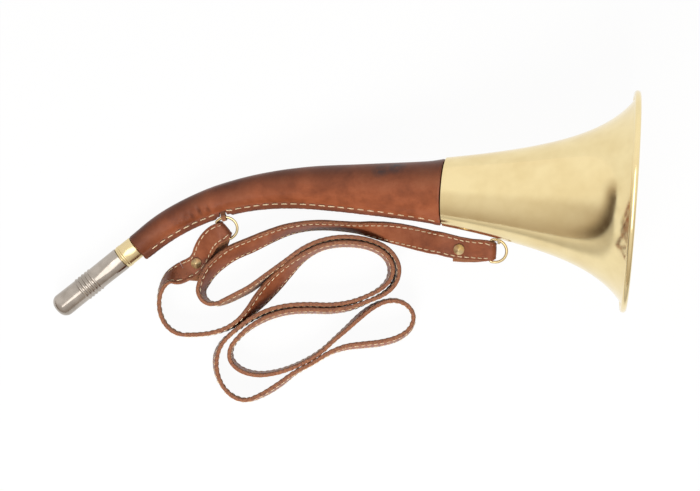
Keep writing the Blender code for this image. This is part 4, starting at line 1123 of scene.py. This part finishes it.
def strap_stitches(rows, start, end, both=True):
    """Stitches along both edges, on the grain and, if both, on the flesh side."""
    result = []
    distance = start
    while distance + STITCH <= end:
        a = rows_at(rows, distance)
        b = rows_at(rows, distance + STITCH)
        for edge in (-1, 1):
            for side in ((1, -1) if both else (1,)):
                shift = 0.00012 * noise.noise(Vector((distance * 900, edge * 3.0, side * 2.0)))
                ends = []
                for row, slant in ((a, -STITCH_SLANT), (b, STITCH_SLANT)):
                    x = edge * (row[4] / 2 - STITCH_INSET + shift) + slant * side
                    up = side * (STRAP_SKIN / 2 - 0.00008)
                    ends.append(row[0] + row[2] * x + row[3] * up)
                result.append((*ends, a[3] * side))
        distance += STITCH_PITCH
    return result


COVER_RUN = 0.052                 # last stretch of the strap, up to the cover's ring
main = frames(smooth(main_stations(), 0.0016))
total = main[-1][5]
cut = max(i for i, row in enumerate(main) if row[5] < total - COVER_RUN)
free_rows = main[:cut + 1]
cover_rows = main[cut:]

strap = strap_mesh("strap", free_rows, replaces=["strap_main"])
strap_thread = add_stitches(
    "strap_stitches", strap_stitches(free_rows, 0.0012, free_rows[-1][5] - 0.0002),
)
run_start = cover_rows[0][5]
strap_run = strap_mesh("strap_cover_run", cover_rows)
run_thread = add_stitches(
    "strap_cover_run_stitches", strap_stitches(cover_rows, run_start + 0.0004, total - 0.0004),
)
for piece in (strap, strap_thread):
    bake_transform(piece)
for piece in (strap_run, run_thread):
    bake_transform(piece)

strap_ends = {
    "bell": frames(smooth(bell_end_stations(), 0.0006), -1),
    "cover": frames(smooth(cover_end_stations(), 0.0006)),
}
for end, end_rows in strap_ends.items():
    strap_mesh(f"strap_end_{end}_leather", end_rows, end + "_ring", ["strap_end_" + end])
for end, end_rows in strap_ends.items():
    sewn = strap_stitches(end_rows, 0.0006, end_rows[-1][5] - 0.0008, both=False)
    add_stitches(f"strap_end_{end}_stitches", sewn, body=end + "_ring")


# ---------------------------------------------------------------- studs
def spun(base, axis, profile, sides=48):
    """Solid turned about axis; profile (height, radius) starts and ends on the axis."""
    side = axis.orthogonal().normalized()
    other = axis.cross(side)
    verts = [base + axis * profile[0][0]]
    for h, r in profile[1:-1]:
        for k in range(sides):
            a = 2 * math.pi * k / sides
            verts.append(base + axis * h + (side * math.cos(a) + other * math.sin(a)) * r)
    verts.append(base + axis * profile[-1][0])
    faces = [(0, 1 + (k + 1) % sides, 1 + k) for k in range(sides)]
    for i in range(len(profile) - 3):
        a = 1 + i * sides
        b = a + sides
        faces += [
            (a + k, a + (k + 1) % sides, b + (k + 1) % sides, b + k) for k in range(sides)
        ]
    last = 1 + (len(profile) - 3) * sides
    faces += [(last + k, last + (k + 1) % sides, len(verts) - 1) for k in range(sides)]
    return facing_out(verts, faces)


STACK = STRAP_THICKNESS + GAP / 2
HEAD_TOP = STACK + GAP


STUD_RADIUS = 0.0032
FOOT_RADIUS = 0.0026
POST_RADIUS = 0.0012


def add_stud(where, middle, axis, body):
    """Cone head above the strap end and the screw that holds it from below."""
    r = STUD_RADIUS
    head = [
        (HEAD_TOP + 0.0014, 0.0), (HEAD_TOP + 0.0014, 0.0015), (HEAD_TOP, 0.0015),
        (HEAD_TOP, r - 0.0001), (HEAD_TOP + 0.0001, r), (HEAD_TOP + 0.00045, r),
        (HEAD_TOP + 0.0006, r - 0.00012), (HEAD_TOP + 0.0023, 0.0006),
        (HEAD_TOP + 0.00248, 0.0004), (HEAD_TOP + 0.0026, 0.0),
    ]
    add_mesh("stud_cone_" + where, *spun(middle, axis, head), [BRASS_STUD], body, sharp=32,
             slot="brass", replaces=["stud_head_" + where])
    foot = -STACK - GAP
    screw = [
        (foot - 0.0007, 0.0), (foot - 0.0007, FOOT_RADIUS - 0.0002), (foot - 0.0005, FOOT_RADIUS),
        (foot, FOOT_RADIUS), (foot, POST_RADIUS), (HEAD_TOP + 0.0011, POST_RADIUS),
        (HEAD_TOP + 0.0011, 0.0),
    ]
    add_mesh("stud_post_" + where, *spun(middle, axis, screw), [BRASS_SMALL], body, sharp=32,
             slot="brass", replaces=["stud_screw_" + where])


add_stud("bell", Vector((0.0693947, -0.0237988, 0.0266377)), BELL_RING_PLANE, "bell_ring")
add_stud("cover", Vector((-0.0902536, -0.0329927, 0.004425)), Vector((0, 0, 1)), "cover_ring")

# ---------------------------------------------------------------- CAD nodes that stay
for node, mat in (
    ("bell_rim_wire", STEEL), ("tube_sleeve", BRASS_INSIDE), ("body_tube", BRASS_INSIDE),
    ("reed_shallot", BRASS_INSIDE), ("reed_clamp", BRASS_SMALL), ("reed_tongue", BRASS_SMALL),
    ("reed_cork", CORK),
):
    NODES[node].data.materials.clear()
    NODES[node].data.materials.append(mat)

# ---------------------------------------------------------------- light, floor and camera
FRONT_EDGE = -0.13                # the pale sheet ends there for what the metal mirrors
FLOOR_REACH = 1.1
ROOM_STRENGTH = 1.06
WHITE = (1.0, 1.0, 1.0, 1.0)
CAMERA_PLACE = (0.0041, -0.02196, 0.673)
CAMERA_LENS = 55.8


def add_floor():
    """Pale sheet: white to the camera and to metal, and still darkened by the horn."""
    mat = bpy.data.materials.new("floor_white")
    mat.use_nodes = True
    mat.node_tree.nodes.clear()
    g = Nodes(mat.node_tree)
    ray = g.add("LightPath").outputs
    axes = g.add("SeparateXYZ", Vector=g.place).outputs
    fade = g.span(axes["Y"], FRONT_EDGE - 0.07, FRONT_EDGE, 0.0, 0.92, True)
    share = g.maths(
        "MAXIMUM", g.maths("MULTIPLY", ray["Is Camera Ray"], 0.90),
        g.maths("MULTIPLY", ray["Is Glossy Ray"], fade),
    )
    lit = g.add("BsdfDiffuse", Color=(0.45, 0.44, 0.43, 1.0))
    glow = g.add("Emission", Color=WHITE, Strength=ROOM_STRENGTH)
    g.add("OutputMaterial", Surface=g.blend_shaders(share, lit, glow))
    verts = [(x * FLOOR_REACH, y * FLOOR_REACH, 0) for x, y in ((-1, -1), (1, -1), (1, 1), (-1, 1))]
    mesh = bpy.data.meshes.new("floor")
    mesh.from_pydata(verts, [], [(0, 1, 2, 3)])
    mesh.materials.append(mat)
    floor = bpy.data.objects.new("floor", mesh)
    bpy.context.scene.collection.objects.link(floor)


def add_world():
    """White to the camera; a pale tent, dimmer towards the front and left, for the rest."""
    world = bpy.data.worlds.new("tent")
    bpy.context.scene.world = world
    world.use_nodes = True
    world.node_tree.nodes.clear()
    g = Nodes(world.node_tree)
    way = g.add("SeparateXYZ", Vector=g.add("TexCoord").outputs["Generated"]).outputs

    def dimmed(amount, level):
        """1 where amount is 0, level where it is 1."""
        node = g.add("Mix")
        node.data_type = "FLOAT"
        for socket, value in ((0, amount), (2, 1.0), (3, level)):
            g.put(node.inputs[socket], value)
        return node.outputs[0]

    front = g.span(way["Y"], 0.15, -0.25, 0.0, 1.0, True)
    left = g.maths(
        "MULTIPLY", g.span(way["X"], -0.60, -0.93, 0.0, 1.0, True),
        g.span(way["Y"], 0.45, 0.05, 0.0, 1.0, True),
    )
    level = g.maths(
        "MULTIPLY", dimmed(front, g.span(way["Z"], -0.10, 1.0, 0.50, 0.90, True)),
        dimmed(left, g.span(way["Z"], 0.0, 0.26, 0.08, 0.97, True)),
    )
    shade = g.ramp(level, [
        (0.0, (0.055, 0.033, 0.020)), (0.5, (0.50, 0.43, 0.37)), (1.0, (1.0, 0.985, 0.97)),
    ])
    ray = g.add("LightPath").outputs
    strength = g.span(ray["Is Diffuse Ray"], 0.0, 1.0, ROOM_STRENGTH, 0.48)
    room = g.add("Background", Color=shade, Strength=strength)
    white = g.add("Background", Color=WHITE)
    g.add("OutputWorld", Surface=g.blend_shaders(ray["Is Camera Ray"], room, white))


def add_lamp(name, place, size, power, mirrored):
    """Area lamp that is either mirrored in the metal or lights the matt surfaces."""
    light = bpy.data.lights.new(name, "AREA")
    light.shape = "RECTANGLE"
    light.size, light.size_y = size
    light.energy = power
    obj = bpy.data.objects.new(name, light)
    obj.location = place
    obj.rotation_euler = (-Vector(place)).to_track_quat("-Z", "Y").to_euler()
    obj.visible_glossy = mirrored
    obj.visible_diffuse = not mirrored
    bpy.context.scene.collection.objects.link(obj)


add_floor()
add_world()
add_lamp("soft_top", (0.05, 0.0, 1.15), (1.2, 0.8), 5.6, True)
add_lamp("key_front", (-0.15, -0.85, 0.75), (0.6, 0.5), 14.0, False)

lens = bpy.data.cameras.new("camera")
lens.sensor_width = 36.0
lens.lens = CAMERA_LENS
lens.clip_start = 0.01
lens.clip_end = 20.0
camera = bpy.data.objects.new("camera", lens)
camera.location = CAMERA_PLACE
bpy.context.scene.collection.objects.link(camera)
bpy.context.scene.camera = camera
bpy.context.scene.view_settings.view_transform = "Standard"
